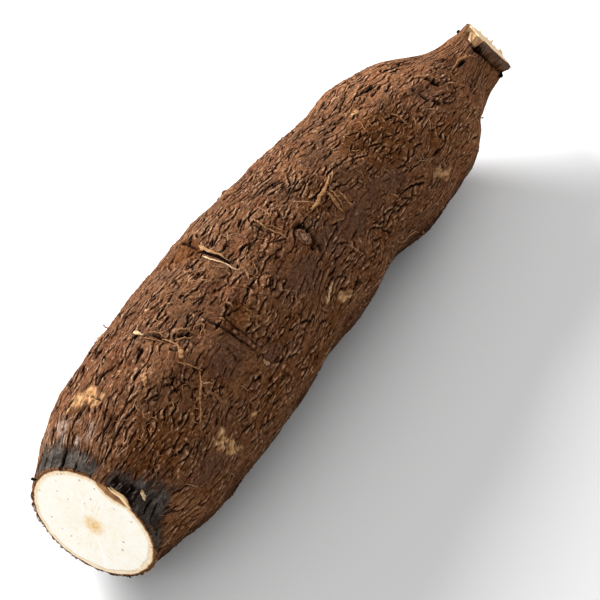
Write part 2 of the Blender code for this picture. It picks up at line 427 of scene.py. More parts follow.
# How the bark changes from place to place: smooth in some places and full of thin curly crests in others, and
# here more golden, there more dusky.
SMOOTH_PLACES = (
    (72, 124, 13, 11), (86, 146, 8, 4), (160, 137, 12, 5), (176, 133, 8, 4), (190, 139, 9, 5),
    (176, 82, 7, 6), (109, 51, 7, 6), (53, 98, 7, 6), (275, 120, 6, 6), (122, 126, 8, 6), (237, 110, 4, 5),
    (34, 160, 9, 5), (88, 115, 4, 3), (120, 215, 22, 14), (60, 270, 16, 14), (190, 260, 24, 16),
    (230, 330, 18, 16), (150, 340, 20, 12), (245, 235, 20, 24),
)
CURLY_PLACES = (
    (202, 112, 24, 15), (186, 118, 12, 10), (157, 113, 13, 8), (28, 130, 18, 16), (98, 110, 13, 12),
    (52, 112, 8, 5), (120, 100, 10, 8), (216, 140, 12, 9), (70, 70, 14, 8), (90, 245, 24, 16),
    (205, 300, 22, 14), (35, 330, 16, 12), (130, 300, 18, 12), (215, 200, 16, 10), (60, 200, 18, 10),
)
GOLDEN_PLACES = (
    (131.5, 160, 5, 4), (86, 116, 8, 6), (168, 165, 17, 6), (76, 164, 15, 8), (26, 124, 16, 10),
    (203, 112, 20, 12), (156, 110, 10, 6), (96, 143, 14, 4), (229, 142, 10, 6), (108, 55, 10, 7),
    (60, 118, 5, 3), (110, 175, 20, 8), (85, 235, 22, 12), (180, 285, 22, 12), (220, 350, 14, 10),
    (45, 300, 16, 12),
)
DUSKY_PLACES = (
    (69, 123, 9, 8), (85, 146, 6, 4), (160, 138, 12, 5), (178, 134, 7, 4), (190, 139, 8, 5),
    (34, 160, 9, 5), (122, 133, 12, 6), (144, 128, 8, 8), (237, 108, 5, 7), (272, 113, 6, 3.5),
    (285, 118, 4, 6), (12, 140, 7, 6), (130, 230, 20, 12), (60, 262, 14, 12), (200, 240, 18, 12),
    (235, 310, 16, 14),
)
even = area(SMOOTH_PLACES)
curly = area(CURLY_PLACES)
# Beside the listed golden places, the side at 170 degrees, turned from the main lamp, gets a warmer tone as
# painted shade.
golden = np.maximum(area(GOLDEN_PLACES), 0.4 * on_side(170, 0.25, 0.9))
dusky = area(DUSKY_PLACES)

# Splits and old scars: place, angle, end place, end angle, half width and depth in mm, and in some how far
# they waver.
SPLITS = (
    (115.1, 42, 110.4, 62, 0.5, 0.7), (110.0, 64, 106.9, 92, 0.95, 1.6), (60.9, 71, 61.9, 86, 0.5, 2.0),
    (64.6, 92, 68.0, 98.6, 0.7, 1.5), (77.6, 99, 79.6, 141, 0.4, 0.6), (82.0, 104, 82.6, 139, 0.3, 0.4),
    (45.2, 100.7, 48.4, 107.6, 0.22, 0.5, 0.15), (48.2, 107.6, 52.7, 117.6, 0.24, 0.6, 0.15),
    (48.2, 108, 49.7, 121.5, 0.24, 0.6, 0.15), (58.6, 92.8, 59.0, 97.8, 0.6, 1.3),
    (139.4, 110.6, 134.0, 113.4, 1.0, 1.7), (134.8, 125.5, 133.4, 129, 0.6, 1.3),
    (144.9, 162.6, 139.2, 167.1, 0.4, 0.8), (139.2, 167.1, 134.6, 172.5, 0.4, 0.8),
    (133.2, 149.1, 126.7, 151.9, 0.4, 0.9), (30.6, 62, 28.4, 73.6, 0.3, 0.6),
    (270.4, 113.8, 277.0, 114.4, 0.5, 0.8), (285.6, 107, 286.0, 118, 0.6, 0.7), (7.5, 47, 3, 49, 0.35, 0.7),
    (6, 76, 2, 78, 0.3, 0.6), (11, 147, 5, 150, 0.4, 0.8), (12, 152, 4, 160, 0.35, 0.7),
    (9, 127, 7, 133, 0.5, 0.9), (7, 168, 3, 174, 0.35, 0.7), (9, 38, 4, 35, 0.35, 0.7),
    (48.2, 108, 44.5, 116, 0.2, 0.4, 0.15), (48.5, 107, 51.5, 102, 0.2, 0.4, 0.15),
    (73.2, 121, 70.4, 131, 0.3, 0.5), (140, 73.1, 157.2, 80.4, 0.4, 0.9),
    (211.6, 69.2, 228.5, 80.4, 0.35, 0.6), (235.9, 109.7, 234.8, 119.8, 0.35, 0.5),
    (244.4, 104.4, 245.8, 117.0, 0.85, 1.9), (9.8, 60.2, 2.3, 62.4, 0.6, 1.2),
    (196.2, 150.2, 205, 156.4, 0.45, 0.7), (184, 153, 192, 160, 0.35, 0.6),
    (127.9, 85, 128.6, 100, 0.3, 0.5), (136.8, 128, 136.2, 133, 0.7, 1.2), (171, 158, 176, 166, 0.5, 0.9),
    (58, 300, 61, 326, 0.6, 0.8), (150, 250, 166, 257, 0.45, 0.9), (205, 330, 190, 322, 0.45, 0.8),
    (95, 213, 92, 243, 0.6, 0.8), (228, 215, 226, 240, 0.5, 0.7), (120, 8, 136, 14, 0.4, 0.8),
    (84.5, 151, 90.5, 154, 0.35, 0.7), (63, 171, 76, 178, 0.35, 0.7),
)


def opened_by(splits):
    """The height that splits give the bark in mm, with a lip along one side, and how much painted shade lies
    in them.
    """
    height, darkness = np.zeros_like(distance), np.zeros_like(distance)
    for place, angle, end_place, end_angle, half_width, depth, *wobble in splits:
        away, share = line(place, angle, end_place, end_angle, *wobble)
        waxing = np.sqrt(np.clip(4 * share * (1 - share), 0, 1))
        waxing *= np.clip(0.95 + 0.35 * wobble_across, 0.5, 1.15)
        height += waxing * (0.45 * depth * bell(away - 2 * half_width, half_width))
        height -= waxing * depth * bell(away, half_width)
        darkness = np.maximum(darkness, np.clip(2.0 * waxing * bell(away, half_width), 0, 1))
    return height, darkness


split_relief, split_shade = opened_by(SPLITS)
near_split = smoothed(split_shade, 16)

# Short cracks everywhere, most of all on the root's left side, and small rimmed pits on its shoulder, all
# darkened with painted shade.
CRACK_COUNT = 360
PIT_COUNT = 46
chances = np.random.default_rng(7)
cracks = []
for number in range(CRACK_COUNT):
    place = chances.uniform(16, 262)
    angle = chances.uniform(0, 360) if number % 5 < 2 else chances.normal(50, 20)
    length, lean, half_width = chances.uniform(2.2, 6.5), chances.normal(0, 2.5), chances.uniform(0.22, 0.40)
    cracks.append((place, angle, place + length, angle + lean, half_width, 2.4 * half_width, 0.3))
crack_relief, crack_shade = opened_by(cracks)
split_relief += crack_relief
split_shade = np.maximum(split_shade, crack_shade)
for number in range(PIT_COUNT):
    place = chances.uniform(222, 276)
    angle = chances.uniform(0, 360) if number % 2 else chances.uniform(70, 170)
    size = chances.uniform(0.45, 0.85)
    away = spot(place, angle, size * 1.5, size) + 0.3 * wobble_along
    split_relief += 0.25 * bell(away - 1.7, 0.6) - 0.9 * size * bell(away, 1)
    split_shade = np.maximum(split_shade, 0.95 * bell(away, 1, 4))

# Hollows that side roots left. Most hold a scar, made further on. Each is: place, angle and radius in mm.
HOLLOWS = (
    (136.4, 118.7, 4.4), (286.2, 114.0, 1.9), (80.5, 119.8, 1.5), (80.9, 131.8, 1.7), (112, 205, 3.6),
    (171, 20, 3.4), (66, 285, 3.2), (208, 262, 3.0), (36, 232, 2.8), (146, 322, 2.6),
)
hollow_relief = np.zeros_like(distance)
for place, angle, size in HOLLOWS:
    away = spot(place, angle, 0.8 * size, 1.15 * size) + 0.25 * wobble_across
    hollow_relief -= 0.32 * size * bell(away, 1, 4)
    # painted shade round the inner edge of each hollow
    split_shade = np.maximum(split_shade, 0.9 * bell(away - 0.85, 0.28))

# Raised seams that run across the root, given as splits are but with a height, and the collar of bark that
# the chop turned up at the neck's end.
SEAMS = (
    (79.8, 101, 81.2, 141, 1.5, 0.5), (131, 86, 131.5, 112, 0.7, 0.3),
    (267.5, 111.5, 278.6, 111.6, 0.6, 0.7), (278.6, 111.6, 281.8, 120, 0.6, 0.6),
    (190, 296, 188, 322, 0.9, 0.5), (75, 225, 79, 252, 1.0, 0.5),
)
seams = np.zeros_like(distance)
for place, angle, end_place, end_angle, half_width, height in SEAMS:
    away, share = line(place, angle, end_place, end_angle, 0.8)
    seams += height * bell(away, half_width) * np.sqrt(np.clip(5 * share * (1 - share), 0, 1))
collar_share = on_side(172, -0.1, 0.5)
ragged_collar = to_chop + 0.5 * ripples(3, 3, 91)
collar = collar_share * (1 - step_up(ragged_collar, 2.6, 3.4))
undercut = collar_share * bell(ragged_collar - 4.1, 0.7)

# Beside the collar a strip of bark was torn away, and wood shows. The tear reaches down to these places at
# these angles.
TEAR_MIDDLE, TEAR_REACH = 92, 26
TEAR_ANGLES = (71, 74, 83, 91, 98, 106, 110, 113, 115)
TEAR_PLACES = (297, 291.4, 290.8, 288.9, 288.0, 286.6, 286.6, 289.4, 297)
tear = distance - np.interp(degrees + 1.5 * ragged, TEAR_ANGLES, TEAR_PLACES) + 1.2 * ragged
by_the_tear = np.abs(degrees - TEAR_MIDDLE) < TEAR_REACH
torn = step_up(tear, -0.15, 0.15) * by_the_tear
tear_lip = bell(tear + 0.5, 0.35) * by_the_tear
collar, undercut = collar * (1 - torn), undercut * (1 - torn)

# The bark is at its roughest near the sawn end and smooth on the shoulder, and lies quieter in long bands.
off = np.maximum(grey, tan)
quiet = 0.15 * step_up(distance, 165, 235) + 0.3 * step_up(distance, 252, 266)
rough = np.clip(1.0 + 0.45 * ripples(24, 36, 11) - quiet, 0.4, 1.35) * (1 - 0.45 * even)
rough *= (1 - 0.85 * off) * np.clip(radius / 26, 0.5, 1)
relief = rough * (0.13 - 0.05 * curly) * leaning_ripples(2.4, 5.2, 1, 1.1)
relief += rough * 0.085 * leaning_ripples(1.3, 3.0, 2, 0.7)
relief += rough * 0.10 * ripples(0.9, 1.6, 3) + 0.30 * ripples(9, 14, 4)
relief += 0.16 * step_up(distance, 256, 268) * ripples(2.6, 16, 18)

# The tan patches are crusty and stand up, except the one by the sawn end, and the grey ones lie a step lower.
crusty = step_up(distance, 33, 42)
crust = 0.52 * ripples(1.7, 1.9, 15) + 0.25 * ripples(2.6, 3, 16) + 0.20 * ripples(0.9, 1.0, 13)
crust *= 0.35 + 0.65 * crusty
# The crust's small pits are only painted shade, with no depth of their own.
crust_pits = tan * step_up(ripples(1.4, 1.4, 104), 0.30, 0.55)
relief += crust * tan + grey * (0.15 * ripples(3, 5, 17) + 0.11 * ripples(1.2, 3.2, 19))
relief += sooty * (0.32 * ripples(2.2, 2.8, 105) + 0.20 * ripples(1.0, 1.3, 106))

# Each flake has one lifted edge and one low one, with a crack between flakes.
opened = step_up(ripples(4.5, 8, 12), -0.3, 0.2) * np.abs(across_share) ** 1.5
opened *= (1 - off) * (1 - 0.6 * even)
flake_lip = np.where(across_share > 0, 0.32 * np.exp(-edge / 0.6), -0.30 * np.exp(-edge / 0.8))
relief += opened * rough * flake_lip + 0.10 * (chance - 0.5)
# crack and fine_crack darken the cracks between flakes with painted shade.
crack = opened * bell(edge, 0.3)
fine_opened = step_up(ripples(3, 5, 14), -0.1, 0.3) * np.abs(fine_share) ** 2
fine_lip = np.where(fine_share > 0, 0.16 * np.exp(-fine_edge / 0.5), -0.16 * np.exp(-fine_edge / 0.6))
relief += fine_opened * rough * fine_lip
fine_crack = fine_opened * bell(fine_edge, 0.22) * (1 - 0.5 * even)

straight_crest = crests(3.2, 7.5, 21, 0.24) * step_up(ripples(5, 8, 22), 0.0, 0.35) * (1 - 0.5 * curly)
curly_crest = crests(3.6, 3.8, 23, 0.22) * step_up(ripples(4, 4, 24), -0.2, 0.2)
small_crest = 0.7 * crests(2.3, 2.5, 25, 0.2) * step_up(ripples(3, 3, 26), 0.1, 0.5)
curly_crest = np.maximum(curly_crest, small_crest) * curly
relief += 0.26 * rough * straight_crest + 0.24 * curly_crest
relief -= 0.42 * crack + 0.24 * fine_crack
# cavity: how far each point stands above or sinks below its neighbours. The finishes paint highlight on what
# stands up and shade in what sinks.
cavity = (relief - smoothed(relief, 12)) * (1 - 0.5 * torn)

by_the_cut = 1 - step_up(to_saw, 0.0, 3.0)
relief *= 1 - 0.85 * by_the_cut
relief -= (0.80 - 0.3 * by_the_cut) * grey + (0.35 - 0.75 * crusty) * tan
relief *= 1 - 0.7 * collar
relief += split_relief + hollow_relief + seams
relief += (0.45 + 0.3 * ripples(9, 2, 92)) * collar - 0.8 * undercut
relief += np.exp(-to_saw / 0.8) * (0.22 + 0.36 * ripples(3.0, 6, 99) + 0.28 * ripples(1.2, 6, 100))
relief += 0.45 * tear_lip - torn * (0.55 + 0.20 * ripples(5, 9, 97) + 0.05 * ripples(2.4, 3, 98))
# Painted shade, from 0 to 1, which the finish lays on as near-black: in cracks, splits, pits and hollows'
# edges, under the turned-up collar, just outside the tan and grey patches, and in the crust's pits.
edge_shade = 0.55 * tan_edge + 0.6 * grey_edge
dark = np.clip(crack + 0.6 * fine_crack + split_shade + 0.9 * undercut + edge_shade, 0, 1)
dark = np.maximum(dark, 0.55 * crust_pits) * (1 - 0.8 * torn)
skin = form + out * relief[..., None] * MM

# The saw left the bark's edge frayed, and on the floor's side the bark is pressed flat.
fray = np.clip(0.3 + 0.6 * ripples(1.3, 6, 95) + 0.4 * ripples(4, 6, 96), -0.15, 1.1)
skin = skin + SAW_FACING * (np.exp(-to_saw / 0.8) * fray * MM)[..., None]
skin[..., 2] = np.maximum(skin[..., 2], 0)

# At the neck's end a corner was cut off, bark and wood alike.
CHIPPED_WITHIN = 14
past = np.maximum(skin @ CHIP_FACING - (chip_reach - 0.4 * MM), 0) * (to_chop < CHIPPED_WITHIN)
skin = skin - past[..., None] * CHIP_FACING
torn = np.maximum(torn, step_up(past / MM, 0.15, 0.6))
rim_inset = BARK_THICKNESS + 0.2 + 0.28 * ripples(4.2, 6, 102)[0] + 0.16 * ripples(1.6, 6, 103)[0]


def skin_at(place, angle, height=0.0, surface=skin):
    """A point at a height in mm over the bark, and the way out there. Places below 0 lie before the cut."""
    column = angle % 360 / 360 * COLUMNS
    first, share = int(column) % COLUMNS, column - int(column)
    second = (first + 1) % COLUMNS
    ring = np.interp(place, distance[:, first], np.arange(RINGS + 1))
    below = min(int(ring), RINGS - 1)
    ring_share = ring - below

    def between(grid):
        low, high = grid[below:below + 2, first] * (1 - share) + grid[below:below + 2, second] * share
        return low * (1 - ring_share) + high * ring_share

    way = between(out)
    way = way / np.linalg.norm(way)
    return between(surface) + way * height * MM + SAW_FACING * max(-place, 0) * MM, way


def drawn_in(ring, middle_point, by):
    """A closed ring of points drawn towards a middle point by this many mm."""
    inward = middle_point - ring
    return ring + inward / np.linalg.norm(inward, axis=-1, keepdims=True) * np.reshape(by, (-1, 1)) * MM


def wrapped(name, rows):
    """A closed tube through rows of rings: a cylinder cut into rings, with each point moved to its place."""
    ring_count, columns, _ = rows.shape
    bpy.ops.object.select_all(action="DESELECT")
    bpy.ops.mesh.primitive_cylinder_add(
        vertices=columns, radius=1, depth=ring_count - 1, end_fill_type="NGON"
    )
    piece = bpy.context.object
    piece.name = piece.data.name = name
    bpy.ops.object.mode_set(mode="EDIT")
    bpy.ops.mesh.select_all(action="DESELECT")
    tube = bmesh.from_edit_mesh(piece.data)
    for edge in tube.edges:
        edge.select = abs(edge.verts[0].co.z - edge.verts[1].co.z) > 0.5
    bmesh.update_edit_mesh(piece.data)
    bpy.ops.mesh.subdivide(number_cuts=ring_count - 2)
    bpy.ops.object.mode_set(mode="OBJECT")
    at = read_rows(piece.data)
    ring = np.rint(at[:, 2] + (ring_count - 1) / 2).astype(int)
    column = np.rint(np.arctan2(at[:, 1], at[:, 0]) / math.tau * columns).astype(int) % columns
    piece.data.vertices.foreach_set("co", rows[ring, column].ravel())
    piece.data.update()
    bpy.ops.object.mode_set(mode="EDIT")
    bpy.ops.mesh.select_all(action="SELECT")
    bpy.ops.mesh.normals_make_consistent(inside=False)
    bpy.ops.object.mode_set(mode="OBJECT")
    return piece, ring, column


def keep_values(piece, **values):
    """Stores for a piece's material a number or a row of three for each point, or one number for all."""
    count = len(piece.data.vertices)
    for name, value in values.items():
        if np.ndim(value) == 2:
            kept = piece.data.attributes.new(name, "FLOAT_VECTOR", "POINT")
            kept.data.foreach_set("vector", np.asarray(value, np.float32).ravel())
        else:
            kept = piece.data.attributes.new(name, "FLOAT", "POINT")
            kept.data.foreach_set("value", np.full(count, value, np.float32))


def mottle_group():
    """The mottling in every finish of the root: noise as it is, and as a share between two of its values."""
    group = bpy.data.node_groups.new("mottle", "ShaderNodeTree")
    for name in ("Place", "Stretch"):
        group.interface.new_socket(name, in_out="INPUT", socket_type="NodeSocketVector")
    for name in ("Scale", "Detail", "Roughness", "From Min", "From Max", "To Min", "To Max"):
        group.interface.new_socket(name, in_out="INPUT", socket_type="NodeSocketFloat")
    for name in ("Noise", "Share"):
        group.interface.new_socket(name, in_out="OUTPUT", socket_type="NodeSocketFloat")
    given = group.nodes.new("NodeGroupInput").outputs
    result = group.nodes.new("NodeGroupOutput").inputs
    stretched = group.nodes.new("ShaderNodeVectorMath")
    stretched.operation = "MULTIPLY"
    group.links.new(given["Place"], stretched.inputs[0])
    group.links.new(given["Stretch"], stretched.inputs[1])
    bumps = group.nodes.new("ShaderNodeTexNoise")
    group.links.new(stretched.outputs[0], bumps.inputs["Vector"])
    for name in ("Scale", "Detail", "Roughness"):
        group.links.new(given[name], bumps.inputs[name])
    ranged = group.nodes.new("ShaderNodeMapRange")
    ranged.interpolation_type = "SMOOTHSTEP"
    group.links.new(bumps.outputs["Fac"], ranged.inputs["Value"])
    for name in ("From Min", "From Max", "To Min", "To Max"):
        group.links.new(given[name], ranged.inputs[name])
    group.links.new(bumps.outputs["Fac"], result["Noise"])
    group.links.new(ranged.outputs["Result"], result["Share"])
    return group


mottling = mottle_group()


class Finish:
    """A new material, with short ways to place the nodes that it is made of."""

    def __init__(self, name, roughness, specular):
        self.material = bpy.data.materials.new(name)
        self.material.use_nodes = True
        self.nodes = self.material.node_tree.nodes
        self.links = self.material.node_tree.links
        self.shader = self.nodes["Principled BSDF"]
        self.shader.inputs["Roughness"].default_value = roughness
        self.shader.inputs["Specular IOR Level"].default_value = specular

    def join(self, value, socket):
        """Joins a socket or sets a number or a colour."""
        if hasattr(value, "links"):
            self.links.new(value, socket)
        elif socket.type == "RGBA":
            socket.default_value = (*value, 1)
        else:
            socket.default_value = value

    def place(self):
        return self.nodes.new("ShaderNodeTexCoord").outputs["Object"]

    def kept(self, name, output="Fac"):
        """What keep_values stored for the piece."""
        node = self.nodes.new("ShaderNodeAttribute")
        node.attribute_name = name
        return node.outputs[output]

    def ranged(self, name, low, high, start=0.0, end=1.0):
        """A kept value as a share that goes smoothly from one of its values to another."""
        node = self.nodes.new("ShaderNodeMapRange")
        node.interpolation_type = "SMOOTHSTEP"
        for socket, value in (("From Min", low), ("From Max", high), ("To Min", start), ("To Max", end)):
            node.inputs[socket].default_value = value
        self.links.new(self.kept(name), node.inputs["Value"])
        return node.outputs["Result"]

    def mottled(self, place, size_mm, low=0.35, high=0.65, detail=3, roughness=0.6, stretch=(1, 1, 1),
                start=0.0, end=1.0, output="Share"):
        """The mottling with its own values: by default a share, of 0 at low and 1 at high."""
        node = self.nodes.new("ShaderNodeGroup")
        node.node_tree = mottling
        self.links.new(place, node.inputs["Place"])
        for socket, value in (
            ("Stretch", stretch), ("Scale", 1000 / size_mm), ("Detail", detail), ("Roughness", roughness),
            ("From Min", low), ("From Max", high), ("To Min", start), ("To Max", end),
        ):
            node.inputs[socket].default_value = value
        return node.outputs[output]

    def bumps(self, place, size_mm, **settings):
        return self.mottled(place, size_mm, output="Noise", **settings)

    def math(self, operation, first, second):
        node = self.nodes.new("ShaderNodeMath")
        node.operation = operation
        self.join(first, node.inputs[0])
        self.join(second, node.inputs[1])
        return node.outputs[0]

    def times(self, first, second):
        return self.math("MULTIPLY", first, second)

    def mixed(self, share, first, second, blend="MIX"):
        node = self.nodes.new("ShaderNodeMix")
        node.data_type = "RGBA"
        node.blend_type = blend
        self.join(share, node.inputs[0])
        self.join(first, node.inputs[6])
        self.join(second, node.inputs[7])
        return node.outputs[2]

    def layered(self, tone, *layers):
        """Lays colours over a tone, each by its share."""
        for share, colour in layers:
            tone = self.mixed(share, tone, colour)
        return tone

    def scaled(self, colour, factor):
        node = self.nodes.new("ShaderNodeVectorMath")
        node.operation = "SCALE"
        self.join(colour, node.inputs[0])
        self.join(factor, node.inputs["Scale"])
        return node.outputs[0]

    def bumped(self, height, distance_mm):
        node = self.nodes.new("ShaderNodeBump")
        node.inputs["Distance"].default_value = distance_mm * MM
        self.links.new(height, node.inputs["Height"])
        self.links.new(node.outputs["Normal"], self.shader.inputs["Normal"])

    def coloured(self, tone):
        self.links.new(tone, self.shader.inputs["Base Color"])


RED_BROWN, GREY_BROWN = (0.140, 0.056, 0.025), (0.130, 0.063, 0.034)
PALE_BROWN, GOLDEN_BROWN = (0.198, 0.091, 0.042), (0.125, 0.045, 0.012)
DUSKY_BROWN, BARK_SHADE = (0.114, 0.056, 0.034), (0.74, 0.52, 0.42)
# BARK_CREST_AND_HIGHLIGHT is the crests' pale flake edges with painted highlight; BARK_HOLLOW_SHADE and
# BARK_SHADE are painted shade.
BARK_CREST_AND_HIGHLIGHT, BARK_HOLLOW_SHADE = (0.46, 0.265, 0.155), (0.022, 0.0065, 0.0025)
BLOOM = (0.42, 0.31, 0.25)
UNDER_BARK, PALE_UNDER_BARK = (0.038, 0.029, 0.024), (0.110, 0.092, 0.080)
UNDER_BARK_CREST_HIGHLIGHT, SOOT = (0.20, 0.165, 0.145), (0.010, 0.006, 0.004)
FRESH_TAN, FRESH_GOLD = (0.38, 0.18, 0.072), (0.68, 0.39, 0.185)
FRESH_CREST_HIGHLIGHT, FRESH_HOLLOW_SHADE = (0.80, 0.53, 0.29), (0.15, 0.062, 0.024)
TORN_WOOD, PALE_TORN_WOOD, TORN_HOLLOW_SHADE = (0.46, 0.25, 0.115), (0.70, 0.45, 0.245), (0.12, 0.05, 0.02)
# PAINTED_CRACK_SHADE: the near-black of painted shade in cracks and recesses.
WORN_COLLAR, RAW_BARK, PAINTED_CRACK_SHADE = (0.085, 0.062, 0.050), (0.26, 0.115, 0.045), (0.005, 0.0025, 0.0015)


def bark_finish():
    finish = Finish("bark", 0.8, 0.02)
    along_grain = finish.kept("grain", "Vector")
    brown = finish.layered(
        finish.mixed(finish.mottled(along_grain, 18, detail=2), RED_BROWN, GREY_BROWN),
        (finish.mottled(along_grain, 6, 0.42, 0.62, stretch=(0.6, 1, 1)), PALE_BROWN),
        (finish.times(finish.kept("golden"), 0.8), GOLDEN_BROWN),
        (finish.times(finish.kept("dusky"), 0.6), DUSKY_BROWN),
        # pale edges and painted highlight on crests, painted shade in hollows
        (finish.ranged("relief", 0.03, 0.30), BARK_CREST_AND_HIGHLIGHT),
        (finish.ranged("relief", -0.03, -0.30), BARK_HOLLOW_SHADE),
    )
    # more painted shade, multiplied in where the bark sinks
    brown = finish.mixed(finish.ranged("relief", 0.03, -0.14), brown, BARK_SHADE, "MULTIPLY")
    bloom_share = finish.times(finish.kept("bloom"), finish.ranged("relief", -0.15, 0.15))
    under = finish.layered(
        finish.mixed(finish.mottled(along_grain, 5, 0.35, 0.68, 4), UNDER_BARK, PALE_UNDER_BARK),
        (finish.kept("sooty"), SOOT),
        # painted highlight on raised under-bark
        (finish.ranged("relief", 0.05, 0.3), UNDER_BARK_CREST_HIGHLIGHT),
    )
    fresh = finish.layered(
        finish.mixed(finish.mottled(along_grain, 1.6, detail=4, roughness=0.7), FRESH_TAN, FRESH_GOLD),
        # painted highlight where the crust stands up and painted shade where it sinks
        (finish.ranged("relief", 0.08, 0.4), FRESH_CREST_HIGHLIGHT),
        (finish.ranged("relief", -0.05, -0.3), FRESH_HOLLOW_SHADE),
    )
    fibres = finish.mottled(along_grain, 1.1, roughness=0.7, stretch=(0.18, 1, 1))
    torn_wood = finish.mixed(fibres, TORN_WOOD, PALE_TORN_WOOD)
    # painted shade where the torn wood sinks
    torn_wood = finish.mixed(finish.ranged("relief", -0.05, -0.35), torn_wood, TORN_HOLLOW_SHADE)
    tone = finish.layered(
        brown,
        (bloom_share, BLOOM),
        (finish.kept("grey"), under),
        (finish.times(finish.kept("collar"), 0.6), WORN_COLLAR),
    )
    grit = finish.mottled(along_grain, 0.7, 0.25, 0.75, 2, 0.65, (0.7, 1, 1), 0.5, 1.5)
    finish.coloured(finish.layered(
        finish.scaled(tone, finish.times(grit, finish.kept("pale"))),
        (finish.kept("tan"), fresh),
        (finish.kept("torn"), torn_wood),
        (finish.kept("raw"), RAW_BARK),
        # painted shade in cracks and recesses
        (finish.kept("dark"), PAINTED_CRACK_SHADE),
    ))
    dullness = finish.mottled(along_grain, 4, 0.3, 0.7, 2, start=0.72, end=0.9)
    finish.links.new(dullness, finish.shader.inputs["Roughness"])
    calm = finish.math("SUBTRACT", 1, finish.times(finish.kept("grey"), 0.55))
    grit_height = finish.bumps(along_grain, 0.8, roughness=0.7, stretch=(0.65, 1, 1))
    finish.bumped(finish.times(grit_height, calm), 0.6)
    return finish.material


bark = bark_finish()
# Paler from 195 to 240 mm along and a little on the side at 160 degrees; darker on the side at 231 degrees,
# low on the -Y side, which is painted shade.
bark_pale_and_underside_shade = 1 + 0.34 * step_up(distance, 195, 240) + 0.08 * on_side(160, 0.3, 0.9)
bark_pale_and_underside_shade *= 1 - 0.78 * on_side(231, 0.66, 0.94)
bloom = 0.75 * step_up(ripples(5, 6, 101), -0.3, 0.35) * (1 - step_up(np.abs(distance - 14), 4, 9))
bloom *= on_side(56, 0.8, 0.94)
looks = {
    "relief": cavity, "dark": dark, "grey": grey, "sooty": sooty, "tan": tan, "bloom": bloom,
    "golden": golden, "dusky": dusky, "torn": torn, "collar": collar, "pale": bark_pale_and_underside_shade, "grain": grain,
}
normals = grid_normals(skin)
saw_middle, chop_middle = form[0].mean(axis=0), form[-1].mean(axis=0)
saw_rim = drawn_in(form[0], saw_middle, rim_inset)
chop_rim = drawn_in(skin[-1], chop_middle, BARK_THICKNESS + 0.7)
for section in range(SECTION_COUNT):
    first = section * SECTION_RINGS
    numbers = list(range(first, first + SECTION_RINGS + 1))
    rows, row_normals, raw = skin[numbers], normals[numbers], [0] * len(numbers)
    if section == 0:
        rows = np.concatenate([[saw_rim - SAW_FACING * INNER_DEPTH * MM, saw_rim], rows])
        row_normals = np.concatenate([[out[0], normals[0]], row_normals])
        numbers = [0, 0, *numbers]
        raw = [1, 0.8, 0.5, *raw[1:]]
    if section == SECTION_COUNT - 1:
        rows = np.concatenate([rows, [chop_rim, chop_rim - CHOP_FACING * INNER_DEPTH * MM]])
        row_normals = np.concatenate([row_normals, [normals[-1], out[-1]]])
        numbers = [*numbers, RINGS, RINGS]
        raw = [*raw, 0.8, 1]
    piece, ring, column = wrapped(f"bark_{section + 1}", rows)
    numbers, raw = np.array(numbers)[ring], np.array(raw)[ring]
    keep_values(piece, **{name: grid[numbers, column] for name, grid in looks.items()})
    keep_values(piece, raw=raw * (1 - torn[numbers, column]))
    piece.data.materials.append(bark)
    piece.data.shade_smooth()
    inner = raw[:, None] > 0.7
    smooth_normals = np.where(inner, read_rows(piece.data, "normal"), row_normals[ring, column])
    piece.data.normals_split_custom_set_from_vertices(smooth_normals.tolist())
    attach(piece, "root")
    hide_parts("cassava_root")


# The sawn face: firm white flesh with faint rays from its yellowish core, and a thin pale rind. It fills the
# bark like a plug. By the upper edge the rind has come away from the flesh, and a ledge shows in the gap.
FACE_COLUMNS = 480
FACE_RINGS = 66
GAP_ANGLE = 119
GAP_HALF_WIDTH = 18
GAP_WIDTH = 2.9
LEDGE_DEPTH = 1.5
RIND_WIDTH = 1.5
BRIGHT_RAY = 256
CORE_SHIFT = np.array((0, -2.0, -0.5)) * MM

# Brown specks in the flesh: how far each lies from the core towards +Y and up, and its radius, in mm.
SPECKS = (
    (24.4, 6.5, 0.25), (22.7, 5.5, 0.3), (13.0, 19.0, 0.35), (14.6, 18.0, 0.3), (15.4, 14.3, 0.2),
    (5.3, 20.1, 0.35), (-0.9, 19.2, 0.35), (0.9, 12.9, 0.35), (3.6, 9.2, 0.25), (10.6, 7.5, 0.25),
    (15.0, 9.2, 0.25), (18.1, -5.8, 0.3), (13.7, -9.6, 0.25), (10.0, -11.2, 0.3), (7.3, -10.4, 0.2),
    (7.0, -13.6, 0.2), (-15.9, 10.9, 0.3), (-8.8, 13.4, 0.25), (-12.3, -1.5, 0.45), (-11.8, -6.0, 0.55),
    (-24.0, 2.2, 0.35),
)


def at_angles(ring_of_points, angles):
    """The points of a ring of the form at these angles."""
    return np.stack([
        np.interp(angles, column_angles, ring_of_points[:, axis], period=math.tau) for axis in range(3)
    ], axis=-1)


def stacked(*parts):
    """A grid of places from the grids of their three coordinates."""
    return np.stack(np.broadcast_arrays(*parts), axis=-1)


def noise_at(*parts):
    """Noise at a grid of places, given as stacked takes them."""
    places = stacked(*parts)
    values = [noise.noise(place) for place in places.reshape(-1, 3).tolist()]
    return np.array(values).reshape(places.shape[:-1])


